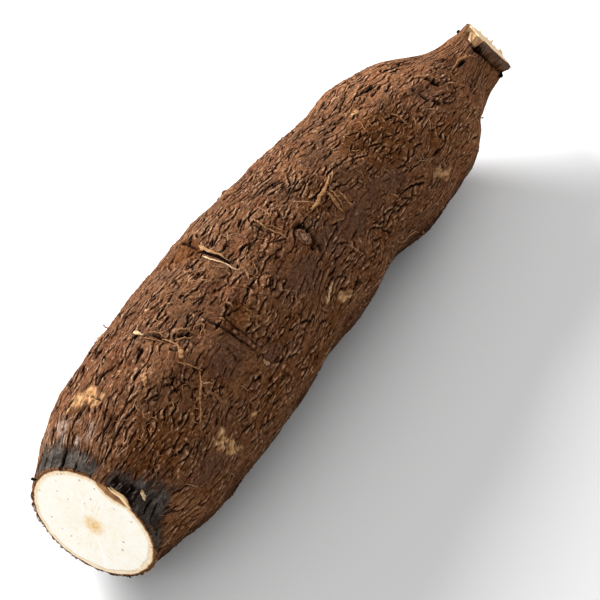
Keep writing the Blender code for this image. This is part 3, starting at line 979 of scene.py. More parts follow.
face_angles = np.arange(FACE_COLUMNS) * math.tau / FACE_COLUMNS
outer = at_angles(drawn_in(form[0], saw_middle, rim_inset + 0.05), face_angles)
from_gap = turned_from(np.degrees(face_angles), GAP_ANGLE)
opening = np.clip(1 - (from_gap / GAP_HALF_WIDTH) ** 2, 0, None) ** 0.7
gap = GAP_WIDTH * opening
rim = drawn_in(outer, saw_middle, gap)
core = saw_middle + CORE_SHIFT
reach = np.linalg.norm(rim - core, axis=-1) / MM
inward_mm = reach[None, :] * np.linspace(0, 0.985, FACE_RINGS)[:, None] ** 1.15
share = inward_mm / reach
face = rim + (core - rim) * share[..., None]
towards_y, upwards = (face[..., 1] - core[1]) / MM, (face[..., 2] - core[2]) / MM


def face_noise(size, seed):
    """Noise over the face in bumps of this size in mm."""
    return noise_at(*np.moveaxis((face - core) / MM / size + seed * 5.1, -1, 0))


def ray_noise(scale, seed, per_ray):
    """Noise that changes round the core and hardly along the rays."""
    return noise_at(per_ray * np.cos(face_angles), per_ray * np.sin(face_angles), share * scale + seed)


line_depth = RIND_WIDTH + 0.35 * np.cos(face_angles - math.radians(240)) + 0.6 * face_noise(6, 3)
line_depth -= np.clip(gap, 0, 1.0)
line_strength = face_noise(5, 9) + 0.45 * np.cos(face_angles - math.radians(250))
cambium = bell(inward_mm - line_depth, 0.3) * step_up(line_strength, -0.15, 0.35)
swell = 0.25 * step_up(inward_mm, 0, 1.0) + 0.10 * face_noise(9, 4) + 0.06 * face_noise(1.3, 5)
swell += 0.05 * ray_noise(2, 6, 22) * step_up(inward_mm, 3, 6) - 0.12 * cambium
swell -= 0.35 * bell(reach - inward_mm, 2.4) * (0.6 + face_noise(1.0, 8))
specks = np.zeros_like(share)
for y, z, size in SPECKS:
    specks = np.maximum(specks, bell(np.hypot(towards_y - y, upwards - z), size, 4) * min(1, 0.35 / size))
from_bright = turned_from(np.degrees(np.arctan2(upwards, towards_y)), BRIGHT_RAY)
bright_ray = bell(from_bright, 3.2) * step_up(share, 0.02, 0.2) * step_up(1 - share, 0.12, 0.35)
face = face + SAW_FACING * (swell * MM)[..., None]
ledge_outer = outer - SAW_FACING * (0.7 + (LEDGE_DEPTH - 0.4) * opening[:, None]) * MM
ledge_inner = rim - SAW_FACING * (0.35 + (LEDGE_DEPTH - 0.6) * opening[:, None]) * MM
rows = np.concatenate([[outer - SAW_FACING * INNER_DEPTH * MM, ledge_outer, ledge_inner], face])
piece, ring, column = wrapped("flesh", rows)


def on_the_wall(values):
    """Values for the flesh's rings, with those of the face's outermost ring repeated down its side."""
    return np.concatenate([values[:1], values[:1], values[:1], values])[ring, column]


# in_shadow: painted shadow in the gap by the lifted rind. The speck brown is laid on the gap's walls there,
# and the ledge's golden fades.
in_shadow = bell(from_gap - 7, 6.5)
golden_wall = np.zeros(rows.shape[:2])
golden_wall[:3] = 1 - 0.8 * in_shadow
golden_wall[3] = 0.35 * (gap > 0.3)
ray_depth = 0.005 * share + 0.0004 * face_noise(3, 12)
rays = stacked(0.01 * np.cos(face_angles), 0.01 * np.sin(face_angles), ray_depth)
keep_values(
    piece,
    from_rim=on_the_wall(inward_mm),
    to_core=on_the_wall(reach - inward_mm),
    cambium=on_the_wall(cambium),
    speck=np.concatenate([[in_shadow, in_shadow, in_shadow], specks])[ring, column],
    bright=on_the_wall(bright_ray),
    rays=on_the_wall(rays),
    ledge=golden_wall[ring, column],
)

WHITE_FLESH, RAY_CREAM = (0.965, 0.925, 0.835), (0.86, 0.70, 0.45)
DEEP_CREAM, BRIGHT_FLESH, CORE_GOLD = (0.93, 0.83, 0.63), (0.98, 0.95, 0.89), (0.84, 0.55, 0.20)
RIND, PALE_RIND, RIND_EDGE = (0.85, 0.63, 0.38), (0.94, 0.82, 0.62), (0.50, 0.25, 0.10)
CAMBIUM, SPECK = (0.64, 0.42, 0.20), (0.20, 0.10, 0.045)
LEDGE_BROWN, LEDGE_GOLD = (0.40, 0.18, 0.065), (0.64, 0.37, 0.16)
PEEL, PEEL_EDGE = (0.70, 0.42, 0.19), (0.88, 0.64, 0.38)


def flesh_finish():
    finish = Finish("flesh", 0.6, 0.3)
    place = finish.place()
    ray_share = finish.times(
        finish.mottled(finish.kept("rays", "Vector"), 0.55, 0.42, 0.70),
        finish.mottled(place, 4, 0.3, 0.7, start=0.25),
    )
    ray_share = finish.times(ray_share, finish.ranged("to_core", 20, 3, 0.28))
    core_share = finish.times(
        finish.ranged("to_core", 5.6, 1.6), finish.mottled(place, 1.3, 0.3, 0.6, 4, 0.75, start=0.25)
    )
    rind = finish.mixed(finish.mottled(place, 1.1, 0.35, 0.7), RIND, PALE_RIND)
    finish.coloured(finish.layered(
        finish.mixed(ray_share, WHITE_FLESH, RAY_CREAM),
        (finish.mottled(place, 6, 0.42, 0.7, end=0.3), DEEP_CREAM),
        (finish.kept("bright"), BRIGHT_FLESH),
        (core_share, CORE_GOLD),
        (finish.ranged("from_rim", 2.3, 0.9), rind),
        (finish.times(finish.kept("cambium"), 0.7), CAMBIUM),
        (finish.ranged("from_rim", 0.5, 0.0), RIND_EDGE),
        (finish.kept("speck"), SPECK),
        (finish.kept("ledge"), finish.mixed(finish.mottled(place, 1.5), LEDGE_BROWN, LEDGE_GOLD)),
        (finish.kept("peel"), finish.mixed(finish.kept("peel_edge"), PEEL, PEEL_EDGE)),
    ))
    finish.shader.inputs["Subsurface Weight"].default_value = 0.15
    finish.shader.inputs["Subsurface Radius"].default_value = (0.004, 0.003, 0.002)
    finish.shader.inputs["Subsurface Scale"].default_value = 1.0
    finish.bumped(finish.bumps(place, 0.8, roughness=0.65), 0.2)
    return finish.material


flesh = flesh_finish()
piece.data.materials.append(flesh)
piece.data.shade_smooth()
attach(piece, "root")
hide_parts("cassava_root")


# The lifted rind: a thin pale peel of the same tissue as the rind round the face. It still grows on the bark
# at its foot, stands off the flesh along the outer side of the gap and leans outwards.
PEEL_ANGLES = (101, 139)
PEEL_RINGS = 49
PEEL_SIDES = 12
peel_angles = np.linspace(*PEEL_ANGLES, PEEL_RINGS)
foot = at_angles(drawn_in(form[0], saw_middle, BARK_THICKNESS + 0.1), np.radians(peel_angles))
sway = np.linspace(-1, 1, PEEL_RINGS)
waxing = np.sqrt(np.clip(1 - sway ** 2, 0.02, 1))
upright = step_up(sway, -0.55, 0.0)
lean_out = 0.9 * waxing * (0.8 + 0.3 * np.sin(5 * sway)) * (0.3 + 0.7 * upright)
lean_out += 0.35 * bell(sway - 0.45, 0.25)
broad = 1 + 2.6 * bell(sway - 0.5, 0.32)
turns = np.arange(PEEL_SIDES) * math.tau / PEEL_SIDES
ring_points = []
for turn in turns:
    raised = 0.5 + 0.5 * math.sin(turn)
    inward_by = 0.42 * math.cos(turn) * (0.5 + 0.5 * waxing) * broad - lean_out * raised
    deep_by = (1.6 - (1.35 + 0.65 * upright) * raised) * (0.3 + 0.7 * waxing)
    deep_by -= 0.15 * waxing * np.sin(9 * sway + 1) * raised
    ring_points.append(drawn_in(foot, saw_middle, inward_by) - SAW_FACING * deep_by[:, None] * MM)
rows = np.stack(ring_points, axis=1)
piece, ring, column = wrapped("lifted_rind", rows)
on_the_edge = 0.5 + 0.5 * np.sin(turns) > 0.9
keep_values(piece, from_rim=0.9, to_core=20, rays=rows[ring, column], peel=1, peel_edge=on_the_edge[column])
piece.data.materials.append(flesh)
piece.data.shade_smooth()
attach(piece, "root")
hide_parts("cassava_root")


# The chopped neck: a core of pale fibrous wood that fills the bark's end. The knife cut it slantwise, and a
# chip broke off beside the cut, so that torn wood shows there.
WOOD_COLUMNS = 240
WOOD_SIDE_RINGS = 40
WOOD_FACE_RINGS = 26
WOOD_LENGTH = 15.0

# Splinters that stand on the cut: angle and width in degrees, and height in mm.
SPLINTERS = (
    (288, 5, 1.8), (281, 3, 1.0), (238, 4, 1.3), (231, 2.5, 0.9), (352, 3, 0.8), (310, 3, 0.6),
    (262, 3, 0.6),
)
wood_angles = np.arange(WOOD_COLUMNS) * math.tau / WOOD_COLUMNS
side_rows = []
for step in np.linspace(1, 0, WOOD_SIDE_RINGS):
    number = RINGS - int(round(step * WOOD_LENGTH / ring_step[-1].mean()))
    ring_of_form = at_angles(form[number], wood_angles)
    inward_by = BARK_THICKNESS + 0.75 + 1.9 * step_up(step, 0, 0.15)
    side_rows.append(drawn_in(ring_of_form, ring_of_form.mean(axis=0), inward_by))
wood_rim = side_rows[-1]
wood_middle = wood_rim.mean(axis=0)
inward = np.linspace(0.04, 0.98, WOOD_FACE_RINGS)[:, None, None]
rows = np.concatenate([side_rows, wood_rim + (wood_middle - wood_rim) * inward])
away_from_middle = np.linalg.norm(rows - rows.mean(axis=1, keepdims=True), axis=-1) / MM
past = rows @ CHIP_FACING - chip_reach
chipped = step_up(past / MM, -0.4, 0.4)
rows = rows - np.maximum(past, 0)[..., None] * CHIP_FACING
fibres = noise_at(
    0.9 * away_from_middle, 6 * np.cos(wood_angles), 6 * np.sin(wood_angles) + 0.4 * away_from_middle
)
lift = 0.45 * fibres + 0.1
by_rim = np.clip(1.2 - away_from_middle / away_from_middle[WOOD_SIDE_RINGS - 1], 0, 1)
for angle, width, height in SPLINTERS:
    lift += height * bell(turned_from(np.degrees(wood_angles), angle), width) * bell(by_rim - 0.35, 0.12)
lift[:WOOD_SIDE_RINGS] = 0
rows = rows + (CHOP_FACING * ((1 - chipped) * lift * MM)[..., None])
rows = rows + (CHIP_FACING * (chipped * 0.5 * fibres * MM)[..., None])
piece, ring, column = wrapped("neck_wood", rows)
keep_values(piece, chipped=chipped[ring, column], fibre=fibres[ring, column])

CUT_WOOD, CUT_WOOD_GRAIN = (0.98, 0.78, 0.53), (0.93, 0.64, 0.38)
CHIPPED_WOOD, CHIPPED_GRAIN, WOOD_GROOVE_SHADE = (0.80, 0.54, 0.29), (0.48, 0.27, 0.12), (0.30, 0.16, 0.07)


def wood_finish():
    finish = Finish("neck_wood", 0.75, 0.15)
    place = finish.place()
    cut = finish.mixed(finish.mottled(place, 0.9, 0.35, 0.7, stretch=(0.3, 1, 1)), CUT_WOOD, CUT_WOOD_GRAIN)
    broken = finish.mixed(
        finish.mottled(place, 1.3, 0.35, 0.7, 4, 0.7, (0.3, 1, 1)), CHIPPED_WOOD, CHIPPED_GRAIN
    )
    # Where the fibres sink, WOOD_GROOVE_SHADE lays painted shade.
    finish.coloured(finish.layered(
        cut, (finish.kept("chipped"), broken), (finish.ranged("fibre", -0.1, -0.5), WOOD_GROOVE_SHADE)
    ))
    finish.bumped(finish.bumps(place, 0.7, roughness=0.65, stretch=(0.25, 1, 1)), 0.3)
    return finish.material


piece.data.materials.append(wood_finish())
piece.data.shade_smooth()
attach(piece, "root")
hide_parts("cassava_root")


# Scars of side roots: each is a ringed knob of cork and wood that sits in a hollow of the bark, grown into
# it. Each is: name, place, angle, half length and half width in mm, and its turn on the bark in degrees.
SCARS = (
    ("eye_scar", 135.8, 119.0, 2.9, 4.0, -20),
    ("seam_scar_1", 80.4, 119.2, 0.9, 1.0, 0),
    ("seam_scar_2", 80.7, 129.6, 0.9, 0.8, 0),
    ("seam_scar_3", 81.0, 133.3, 0.9, 0.8, 0),
    ("under_scar_1", 112, 205, 2.4, 2.8, 10),
    ("side_scar", 171, 20, 2.2, 2.8, 20),
    ("under_scar_2", 66, 285, 2.2, 2.5, 0),
    ("under_scar_3", 208, 262, 2.0, 2.4, -15),
    ("under_scar_4", 36, 232, 1.8, 2.2, 0),
    ("far_scar", 146, 322, 1.8, 2.0, 0),
)
SCAR_COLUMNS = 48
SCAR_RINGS = 22
bed = form + out * smoothed(relief, 10)[..., None] * MM
bed[..., 2] = np.maximum(bed[..., 2], 0)


def scar(name, place, angle, half_length, half_width, turn):
    """A ringed knob: from its skirt under the bark it rises to a rim, dips to a dark ring and rises again."""
    middle, way = skin_at(place, angle, 0, bed)
    ahead = skin_at(place + 1, angle, 0, bed)[0] - skin_at(place - 1, angle, 0, bed)[0]
    across = np.cross(way, ahead)
    across /= np.linalg.norm(across)
    ahead = np.cross(across, way)
    size = math.sqrt(half_length * half_width)
    spread = np.array([1.0, *np.linspace(1.15, 0.04, SCAR_RINGS)])[:, None]
    turns = np.arange(SCAR_COLUMNS) * math.tau / SCAR_COLUMNS
    rough_edge = noise_at(2.2 * np.cos(turns), 2.2 * np.sin(turns), 3 * spread + place)
    rough_edge += 0.5 * noise_at(6 * np.cos(turns), 6 * np.sin(turns), 7 * spread + place)
    wide = spread * (1 + 0.6 * rough_edge)
    height = 0.30 * bell(wide - 0.78, 0.16) - 0.16 * bell(wide - 0.55, 0.09)
    height += 0.34 * bell(wide, 0.42, 4) - 0.12 * bell(wide, 0.13)
    height += 0.34 * rough_edge - 0.55 * step_up(wide, 0.88, 1.15)
    height[0] -= 0.6
    ahead_by = (wide * half_length * np.cos(turns + math.radians(turn)))[..., None]
    across_by = (wide * half_width * np.sin(turns + math.radians(turn)))[..., None]
    rows = middle + (ahead_by * ahead + across_by * across + (height * size + 0.15)[..., None] * way) * MM
    rows[..., 2] = np.maximum(rows[..., 2], 0.02 * MM)
    piece, ring, column = wrapped(name, rows)
    ringed = bell(wide - 0.56, 0.10) * step_up(rough_edge, -0.25, 0.2) + step_up(wide, 0.98, 1.08)
    pale = 1 - step_up(wide, 0.30, 0.95)
    keep_values(piece, dark=np.clip(ringed, 0, 1)[ring, column], pale=pale[ring, column])
    return piece


RIM_CORK, PALE_RIM_CORK = (0.19, 0.066, 0.032), (0.40, 0.18, 0.095)
SCAR_MIDDLE, PALE_SCAR_MIDDLE, SCAR_RING = (0.42, 0.21, 0.13), (0.66, 0.42, 0.28), (0.008, 0.004, 0.002)


def scar_finish():
    finish = Finish("scar_cork", 0.75, 0.1)
    place = finish.place()
    middle_tone = finish.mixed(finish.mottled(place, 0.7), SCAR_MIDDLE, PALE_SCAR_MIDDLE)
    finish.coloured(finish.layered(
        finish.mixed(finish.mottled(place, 0.9), RIM_CORK, PALE_RIM_CORK),
        (finish.kept("pale"), middle_tone),
        (finish.times(finish.kept("dark"), 0.9), SCAR_RING),
    ))
    finish.bumped(finish.bumps(place, 0.5, roughness=0.7), 0.25)
    return finish.material


scar_cork = scar_finish()
for row in SCARS:
    piece = scar(*row)
    piece.data.materials.append(scar_cork)
    piece.data.shade_smooth()
    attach(piece, "root")
    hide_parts("cassava_root")


# Rootlets, torn fibres and lips of bark: thin and dry, still grown into the bark at one end or lying in a
# scar. Each is a band along a path, round where it is thin and flat where it is broad. It is: its name, how
# pale it is from 0 to 1, its greatest thickness in mm and its tilt in degrees, and the stops of its path. A
# stop is a place, an angle, a height over the bark and a half width, in mm.
STRANDS = (
    ("straight_rootlet", 0.35, 0.5, 0, (
        (57.2, 116.0, 0.1, 0.15), (56.2, 117.6, 0.8, 0.42), (52.8, 122.4, 1.0, 0.38),
        (49.0, 126.2, 0.9, 0.42), (45.4, 129.8, 0.8, 0.36), (42.0, 133.4, 0.7, 0.32),
        (39.6, 136.2, 0.3, 0.14),
    )),
    ("side_hair", 0.75, 0.3, 0, (
        (53.6, 121.8, 0.8, 0.2), (54.8, 124.2, 1.2, 0.18), (56.6, 127.4, 0.9, 0.08),
    )),
    ("upper_lip", 0.62, 0.6, 22, (
        (112.6, 61.6, 0.1, 0.4), (111.6, 64.6, 0.7, 1.15), (110.6, 68.8, 0.9, 0.95),
        (109.9, 74.0, 0.9, 0.65), (109.2, 79.0, 0.7, 0.45), (108.7, 84.4, 0.5, 0.3),
        (108.2, 88.6, 0.1, 0.1),
    )),
    ("lower_sliver", 1.0, 0.35, -12, (
        (106.8, 70.0, 0.1, 0.2), (105.6, 74.8, 0.6, 0.52), (105.0, 80.0, 0.7, 0.55),
        (105.1, 85.0, 0.7, 0.5), (105.4, 90.0, 0.5, 0.36), (105.7, 95.0, 0.3, 0.22),
        (106.0, 99.0, 0.1, 0.08),
    )),
    ("upper_hair", 0.6, 0.45, 0, (
        (130.9, 85.8, 0.1, 0.15), (130.2, 89.0, 0.8, 0.42), (129.8, 93.2, 0.8, 0.4),
        (129.6, 98.0, 0.2, 0.2),
    )),
    ("lower_hair", 0.5, 0.4, 0, (
        (129.7, 97.6, 0.3, 0.2), (129.8, 101.6, 0.8, 0.36), (130.3, 105.8, 0.7, 0.32),
        (130.2, 109.6, 0.4, 0.2), (130.1, 113.0, 0.1, 0.1),
    )),
    ("twin_hair", 0.25, 0.35, 0, (
        (131.2, 97.0, 0.2, 0.15), (131.6, 101.0, 0.7, 0.3), (131.9, 105.8, 0.5, 0.28),
        (131.4, 110.5, 0.1, 0.12),
    )),
    ("shoulder_hair", 0.4, 0.35, 0, (
        (217.2, 103.2, 0.2, 0.2), (217.6, 107.0, 0.8, 0.3), (217.8, 111.5, 0.8, 0.32),
        (217.0, 115.5, 0.6, 0.3), (218.4, 119.8, 0.1, 0.16),
    )),
    ("low_hair", 0.7, 0.3, 0, (
        (183.0, 184.2, 0.2, 0.16), (187.0, 188.5, 0.8, 0.24), (190.0, 186.0, 0.9, 0.24),
        (194.5, 188.0, 0.7, 0.22), (198.2, 194.5, 0.2, 0.1),
    )),
    ("arched_flap", 0.25, 0.35, 20, (
        (195.4, 149.5, 0.1, 0.2), (198.5, 150.0, 0.9, 0.5), (202.5, 152.5, 1.0, 0.55),
        (205.5, 156.4, 0.3, 0.2),
    )),
    ("torn_bit", 0.95, 0.8, 0, (
        (61.6, 63.8, 0.1, 0.3), (61.0, 65.8, 0.7, 0.95), (60.8, 68.6, 0.7, 0.85), (60.9, 72.0, 0.1, 0.3),
    )),
    ("torn_lip_1", 0.3, 0.4, 15, (
        (62.2, 72.0, 0.1, 0.15), (63.0, 76.0, 0.4, 0.3), (63.3, 81.0, 0.4, 0.3), (62.9, 86.0, 0.2, 0.15),
    )),
    ("torn_lip_2", 0.5, 0.4, -15, (
        (59.7, 73.0, 0.1, 0.2), (59.6, 77.0, 0.4, 0.3), (60.1, 82.0, 0.4, 0.3), (60.7, 87.0, 0.2, 0.15),
    )),
    ("torn_twig", 0.6, 0.4, 0, (
        (61.6, 84.6, 0.3, 0.2), (61.8, 88.4, 0.8, 0.4), (61.7, 92.0, 0.7, 0.34), (60.8, 96.0, 0.2, 0.15),
    )),
    ("hole_lip_1", 0.3, 0.5, 20, (
        (65.6, 89.6, 0.1, 0.2), (67.4, 91.6, 0.8, 0.5), (69.2, 95.0, 0.9, 0.5), (69.6, 99.0, 0.3, 0.25),
    )),
    ("hole_lip_2", 0.35, 0.4, -15, (
        (63.0, 92.6, 0.1, 0.2), (64.0, 95.4, 0.6, 0.36), (66.2, 99.0, 0.6, 0.34), (68.4, 101.0, 0.1, 0.15),
    )),
    ("loop_flap", 0.3, 0.4, 10, (
        (70.6, 98.4, 0.2, 0.2), (72.8, 97.4, 0.7, 0.36), (75.2, 98.8, 0.8, 0.38), (75.4, 101.8, 0.7, 0.36),
        (72.6, 103.0, 0.4, 0.3), (70.0, 103.4, 0.1, 0.15),
    )),
    ("three_cornered_flap", 0.5, 0.4, 10, (
        (61.8, 95.6, 0.2, 0.3), (60.2, 98.6, 0.7, 0.6), (58.4, 101.2, 0.9, 1.15), (56.6, 103.2, 0.4, 0.7),
    )),
    ("fallen_twig", 0.4, 0.35, 0, (
        (54.4, 102.6, 0.2, 0.2), (55.4, 106.4, 0.8, 0.32), (56.6, 111.0, 0.8, 0.32),
        (58.2, 118.0, 0.3, 0.2),
    )),
    ("leaf_flake", 0.45, 0.4, 12, (
        (44.8, 89.2, 0.1, 0.3), (43.2, 91.2, 0.8, 0.95), (41.0, 93.4, 0.9, 1.0), (38.8, 95.6, 0.2, 0.3),
    )),
    ("rusty_curl", 0.15, 0.4, 15, (
        (48.8, 129.0, 0.2, 0.3), (50.8, 128.0, 1.2, 0.5), (53.0, 130.0, 1.3, 0.6), (53.6, 134.5, 1.0, 0.7),
        (53.4, 140.0, 0.6, 0.6), (52.4, 143.5, 0.1, 0.3),
    )),
    ("tangle_club", 0.5, 0.7, 12, (
        (169.6, 104.2, 0.2, 0.2), (167.0, 105.6, 1.0, 0.42), (163.7, 106.9, 1.3, 0.6),
        (160.7, 108.0, 1.2, 0.9), (156.8, 108.8, 0.9, 1.05), (152.4, 109.5, 0.7, 1.2),
        (148.4, 110.3, 0.2, 0.8),
    )),
    ("tangle_twig", 0.3, 0.4, 0, (
        (171.8, 106.0, 0.2, 0.2), (168.6, 106.0, 0.9, 0.34), (164.6, 109.0, 0.8, 0.34),
        (162.4, 111.5, 0.2, 0.15),
    )),
    ("tangle_shred_1", 0.5, 0.35, 18, (
        (161.8, 109.2, 0.4, 0.3), (160.8, 112.4, 1.2, 0.6), (159.8, 116.4, 1.3, 0.85),
        (159.3, 121.0, 1.2, 0.85), (159.5, 127.6, 0.4, 0.3),
    )),
    ("tangle_shred_2", 0.35, 0.3, 10, (
        (163.2, 109.8, 0.2, 0.2), (162.5, 114.4, 1.0, 0.42), (162.0, 119.8, 1.0, 0.46),
        (160.6, 126.4, 0.2, 0.15),
    )),
    ("tangle_shred_3", 0.45, 0.3, 20, (
        (165.0, 116.6, 0.2, 0.2), (164.8, 120.6, 1.0, 0.6), (164.6, 124.6, 0.8, 0.55),
        (164.4, 129.0, 0.1, 0.15),
    )),
    ("tangle_shred_4", 0.2, 0.4, 15, (
        (157.6, 129.6, 0.2, 0.3), (154.6, 128.6, 0.8, 0.6), (151.4, 126.6, 0.8, 0.6),
        (149.0, 124.5, 0.1, 0.3),
    )),
    ("shoulder_lump", 0.45, 0.9, 0, (
        (243.2, 97.4, 0.1, 0.4), (244.4, 99.4, 0.5, 1.0), (245.2, 101.6, 0.1, 0.4),
    )),
    ("pale_chip", 0.95, 0.6, 0, (
        (9.6, 135.6, 0.2, 0.4), (9.0, 138.0, 0.7, 1.0), (8.6, 140.6, 0.7, 0.8), (8.4, 143.0, 0.2, 0.3),
    )),
    ("crust_edge", 0.85, 0.5, 10, (
        (132.0, 151.0, 0.0, 0.15), (130.2, 152.4, 0.6, 0.5), (127.6, 154.4, 0.7, 0.6),
        (125.2, 156.4, 0.6, 0.5), (123.8, 157.8, 0.0, 0.15),
    )),
    ("crust_bit", 0.7, 0.5, -10, (
        (137.8, 168.4, 0.0, 0.15), (136.4, 167.8, 0.6, 0.5), (134.4, 166.0, 0.6, 0.55),
        (132.8, 163.8, 0.0, 0.2),
    )),
    ("neck_flap", 0.4, 0.6, 22, (
        (266.0, 111.8, 0.1, 0.2), (270.0, 111.0, 1.0, 0.5), (274.5, 110.8, 1.4, 0.6),
        (278.6, 111.8, 1.4, 0.55), (280.8, 115.5, 1.1, 0.45), (282.0, 120.5, 0.1, 0.2),
    )),
    ("torn_sliver", 0.9, 0.7, 15, (
        (293.2, 84.0, -0.6, 0.3), (291.2, 88.0, 0.3, 0.8), (289.2, 93.0, 0.4, 0.7),
        (287.6, 98.0, -0.3, 0.2),
    )),
    ("torn_chip", 0.1, 0.7, -20, (
        (293.6, 79.0, -0.6, 0.3), (291.8, 80.5, 0.4, 0.9), (290.0, 82.5, 0.1, 0.5),
    )),
    ("seam_end", 0.7, 0.8, 0, ((80.4, 143.8, 0.1, 0.4), (80.8, 146.0, 0.6, 0.9), (81.8, 147.8, 0.1, 0.3))),
    ("seam_start", 0.5, 0.5, 0, (
        (81.0, 106.5, 0.1, 0.3), (81.4, 108.0, 0.6, 0.6), (81.6, 109.8, 0.1, 0.3),
    )),
    ("neck_bead", 0.0, 1.6, 0, (
        (289.8, 182.0, -0.3, 0.6), (290.6, 183.5, 0.9, 1.2), (291.0, 185.5, 0.6, 0.7),
    )),
    ("top_bead", 0.0, 1.4, 0, ((292.3, 61.0, -0.4, 0.5), (293.1, 60.0, 0.7, 0.9), (293.7, 59.0, 0.2, 0.5))),
    ("edge_flake_1", 0.1, 0.35, 30, (
        (148.0, 37.0, 0.0, 0.3), (150.5, 36.5, 1.1, 0.7), (153.0, 36.0, 0.1, 0.3),
    )),
    ("edge_flake_2", 0.1, 0.35, 30, (
        (113.0, 33.0, 0.0, 0.3), (117.0, 32.0, 1.1, 0.7), (120.0, 31.5, 0.1, 0.3),
    )),
    ("edge_hair_1", 0.15, 0.4, 0, (
        (68.8, 29.0, 0.0, 0.24), (69.4, 27.0, 1.9, 0.24), (70.6, 25.0, 3.6, 0.14),
    )),
    ("edge_hair_2", 0.1, 0.4, 0, (
        (246.0, 70.0, 0.0, 0.35), (246.6, 68.0, 1.4, 0.3), (247.4, 66.0, 2.4, 0.16),
    )),
    ("edge_hair_3", 0.1, 0.4, 0, (
        (228.5, 55.0, 0.0, 0.35), (229.5, 54.0, 1.3, 0.3), (230.5, 53.0, 2.0, 0.16),
    )),
    ("edge_hair_4", 0.1, 0.4, 0, (
        (262.0, 172.0, 0.0, 0.25), (263.0, 174.0, 1.5, 0.25), (264.2, 176.0, 2.4, 0.16),
    )),
    ("saw_bead", 0.0, 1.2, 0, ((1.8, 22.5, -0.4, 0.5), (1.2, 21.8, 0.7, 0.75), (0.7, 21.0, 1.1, 0.5))),
    ("underside_rootlet", 0.5, 0.5, 0, (
        (150, 300, 0.2, 0.2), (152, 296, 1.2, 0.4), (157, 293, 1.2, 0.4), (163, 294, 0.3, 0.15),
    )),
    ("far_rootlet", 0.4, 0.5, 0, (
        (190, 15, 0.2, 0.2), (186, 12, 1.2, 0.4), (181, 11, 1.1, 0.35), (174, 13, 0.2, 0.14),
    )),
    ("far_fibre", 0.6, 0.45, 10, (
        (86, 352, 0.1, 0.2), (88, 358, 1.0, 0.5), (87, 6, 0.8, 0.4), (85, 13, 0.1, 0.14),
    )),
)
STRAND_RINGS = 22
STRAND_SIDES = 10

# Every band wavers by vector noise, which is the same in each run only if it is given a seed.
WAVER_SEED = 1796094361
noise.seed_set(WAVER_SEED)


def strand(name, stops, thickness, tilt, rings=STRAND_RINGS, sides=STRAND_SIDES):
    """A band along a smooth path on the bark, closed at both ends."""
    stops = np.array(stops, float)
    stops[:, 1] = np.degrees(np.unwrap(np.radians(stops[:, 1])))
    at = np.linspace(0, len(stops) - 1, rings)
    path = np.stack([np.interp(at, range(len(stops)), stops[:, part]) for part in range(4)], axis=-1)
    for _ in range(6):
        path[1:-1] = (path[:-2] + 2 * path[1:-1] + path[2:]) / 4
    for number, row in enumerate(path):
        bend = noise.noise_vector(Vector((0.4 * number, stops[0, 0], stops[0, 1])))
        row += (0.45 * bend.x, 1.2 * bend.y, (0.3 * bend.z - 0.35) * row[2], 0.45 * bend.z * row[3])
    middles, ways = zip(*(skin_at(place, angle, height, bed) for place, angle, height, _ in path))
    middles, ways = np.array(middles), np.array(ways)
    across = np.cross(ways, np.gradient(middles, axis=0))
    across /= np.linalg.norm(across, axis=-1, keepdims=True)
    turns = np.arange(sides) * math.tau / sides
    flat = path[:, 3:] * np.cos(turns)
    deep = np.minimum(path[:, 3:], thickness / 2) * np.sin(turns)
    lean, rise = math.cos(math.radians(tilt)), math.sin(math.radians(tilt))
    across_by, out_by = (flat * lean - deep * rise)[..., None], (flat * rise + deep * lean)[..., None]
    rows = middles[:, None] + (across_by * across[:, None] + out_by * ways[:, None]) * MM
    waver = np.array([tuple(noise.noise_vector(Vector(at) / (0.9 * MM))) for at in rows.reshape(-1, 3)])
    rows = rows + waver.reshape(rows.shape) * 0.35 * path[:, 3:, None] * MM
    return wrapped(name, rows)


FIBRE_BROWN, DARK_FIBRE = (0.21, 0.085, 0.032), (0.085, 0.032, 0.012)
FIBRE_TAN, DARK_TAN = (0.44, 0.23, 0.105), (0.25, 0.11, 0.045)
FIBRE_CREAM, DARK_CREAM, CHARRED = (0.82, 0.62, 0.38), (0.56, 0.34, 0.17), (0.008, 0.006, 0.005)


def fibre_finish():
    finish = Finish("dry_fibre", 0.8, 0.05)
    place = finish.place()
    finish.coloured(finish.layered(
        finish.mixed(finish.mottled(place, 1.6), FIBRE_BROWN, DARK_FIBRE),
        (finish.ranged("pale", 0.0, 0.5), finish.mixed(finish.mottled(place, 1.2), FIBRE_TAN, DARK_TAN)),
        (finish.ranged("pale", 0.5, 1.0), finish.mixed(finish.mottled(place, 1.6), FIBRE_CREAM, DARK_CREAM)),
        (finish.kept("black"), CHARRED),
    ))
    finish.bumped(finish.bumps(place, 0.4, detail=2), 0.15)
    return finish.material


dry_fibre = fibre_finish()
for name, pale, thickness, tilt, stops in STRANDS:
    piece, _, _ = strand(name, stops, thickness, tilt)
    keep_values(piece, pale=pale, black=name.endswith("bead"))
    piece.data.materials.append(dry_fibre)
    piece.data.shade_smooth()
    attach(piece, "root")
    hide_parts("cassava_root")


# Loose flakes, threads and crumbs, all still held by the bark: hundreds of small scales of dry bark with a
# lifted edge, short curly threads, and the crumbs that the saw left along its cut. Each kind is joined into
# one piece. No scale or thread lies where the root rests on the floor.
SCALE_COUNT = 300
THREAD_COUNT = 170
CRUMB_COUNT = 150
MIXED_CRUMBS = 60
FLOOR_MARGIN = 2.5 * MM
scatter = np.random.default_rng(29)


def joined(pieces, name):
    bpy.ops.object.select_all(action="DESELECT")
    for piece in pieces:
        piece.select_set(True)
    bpy.context.view_layer.objects.active = pieces[0]
    bpy.ops.object.join()
    pieces[0].name = pieces[0].data.name = name
    return pieces[0]


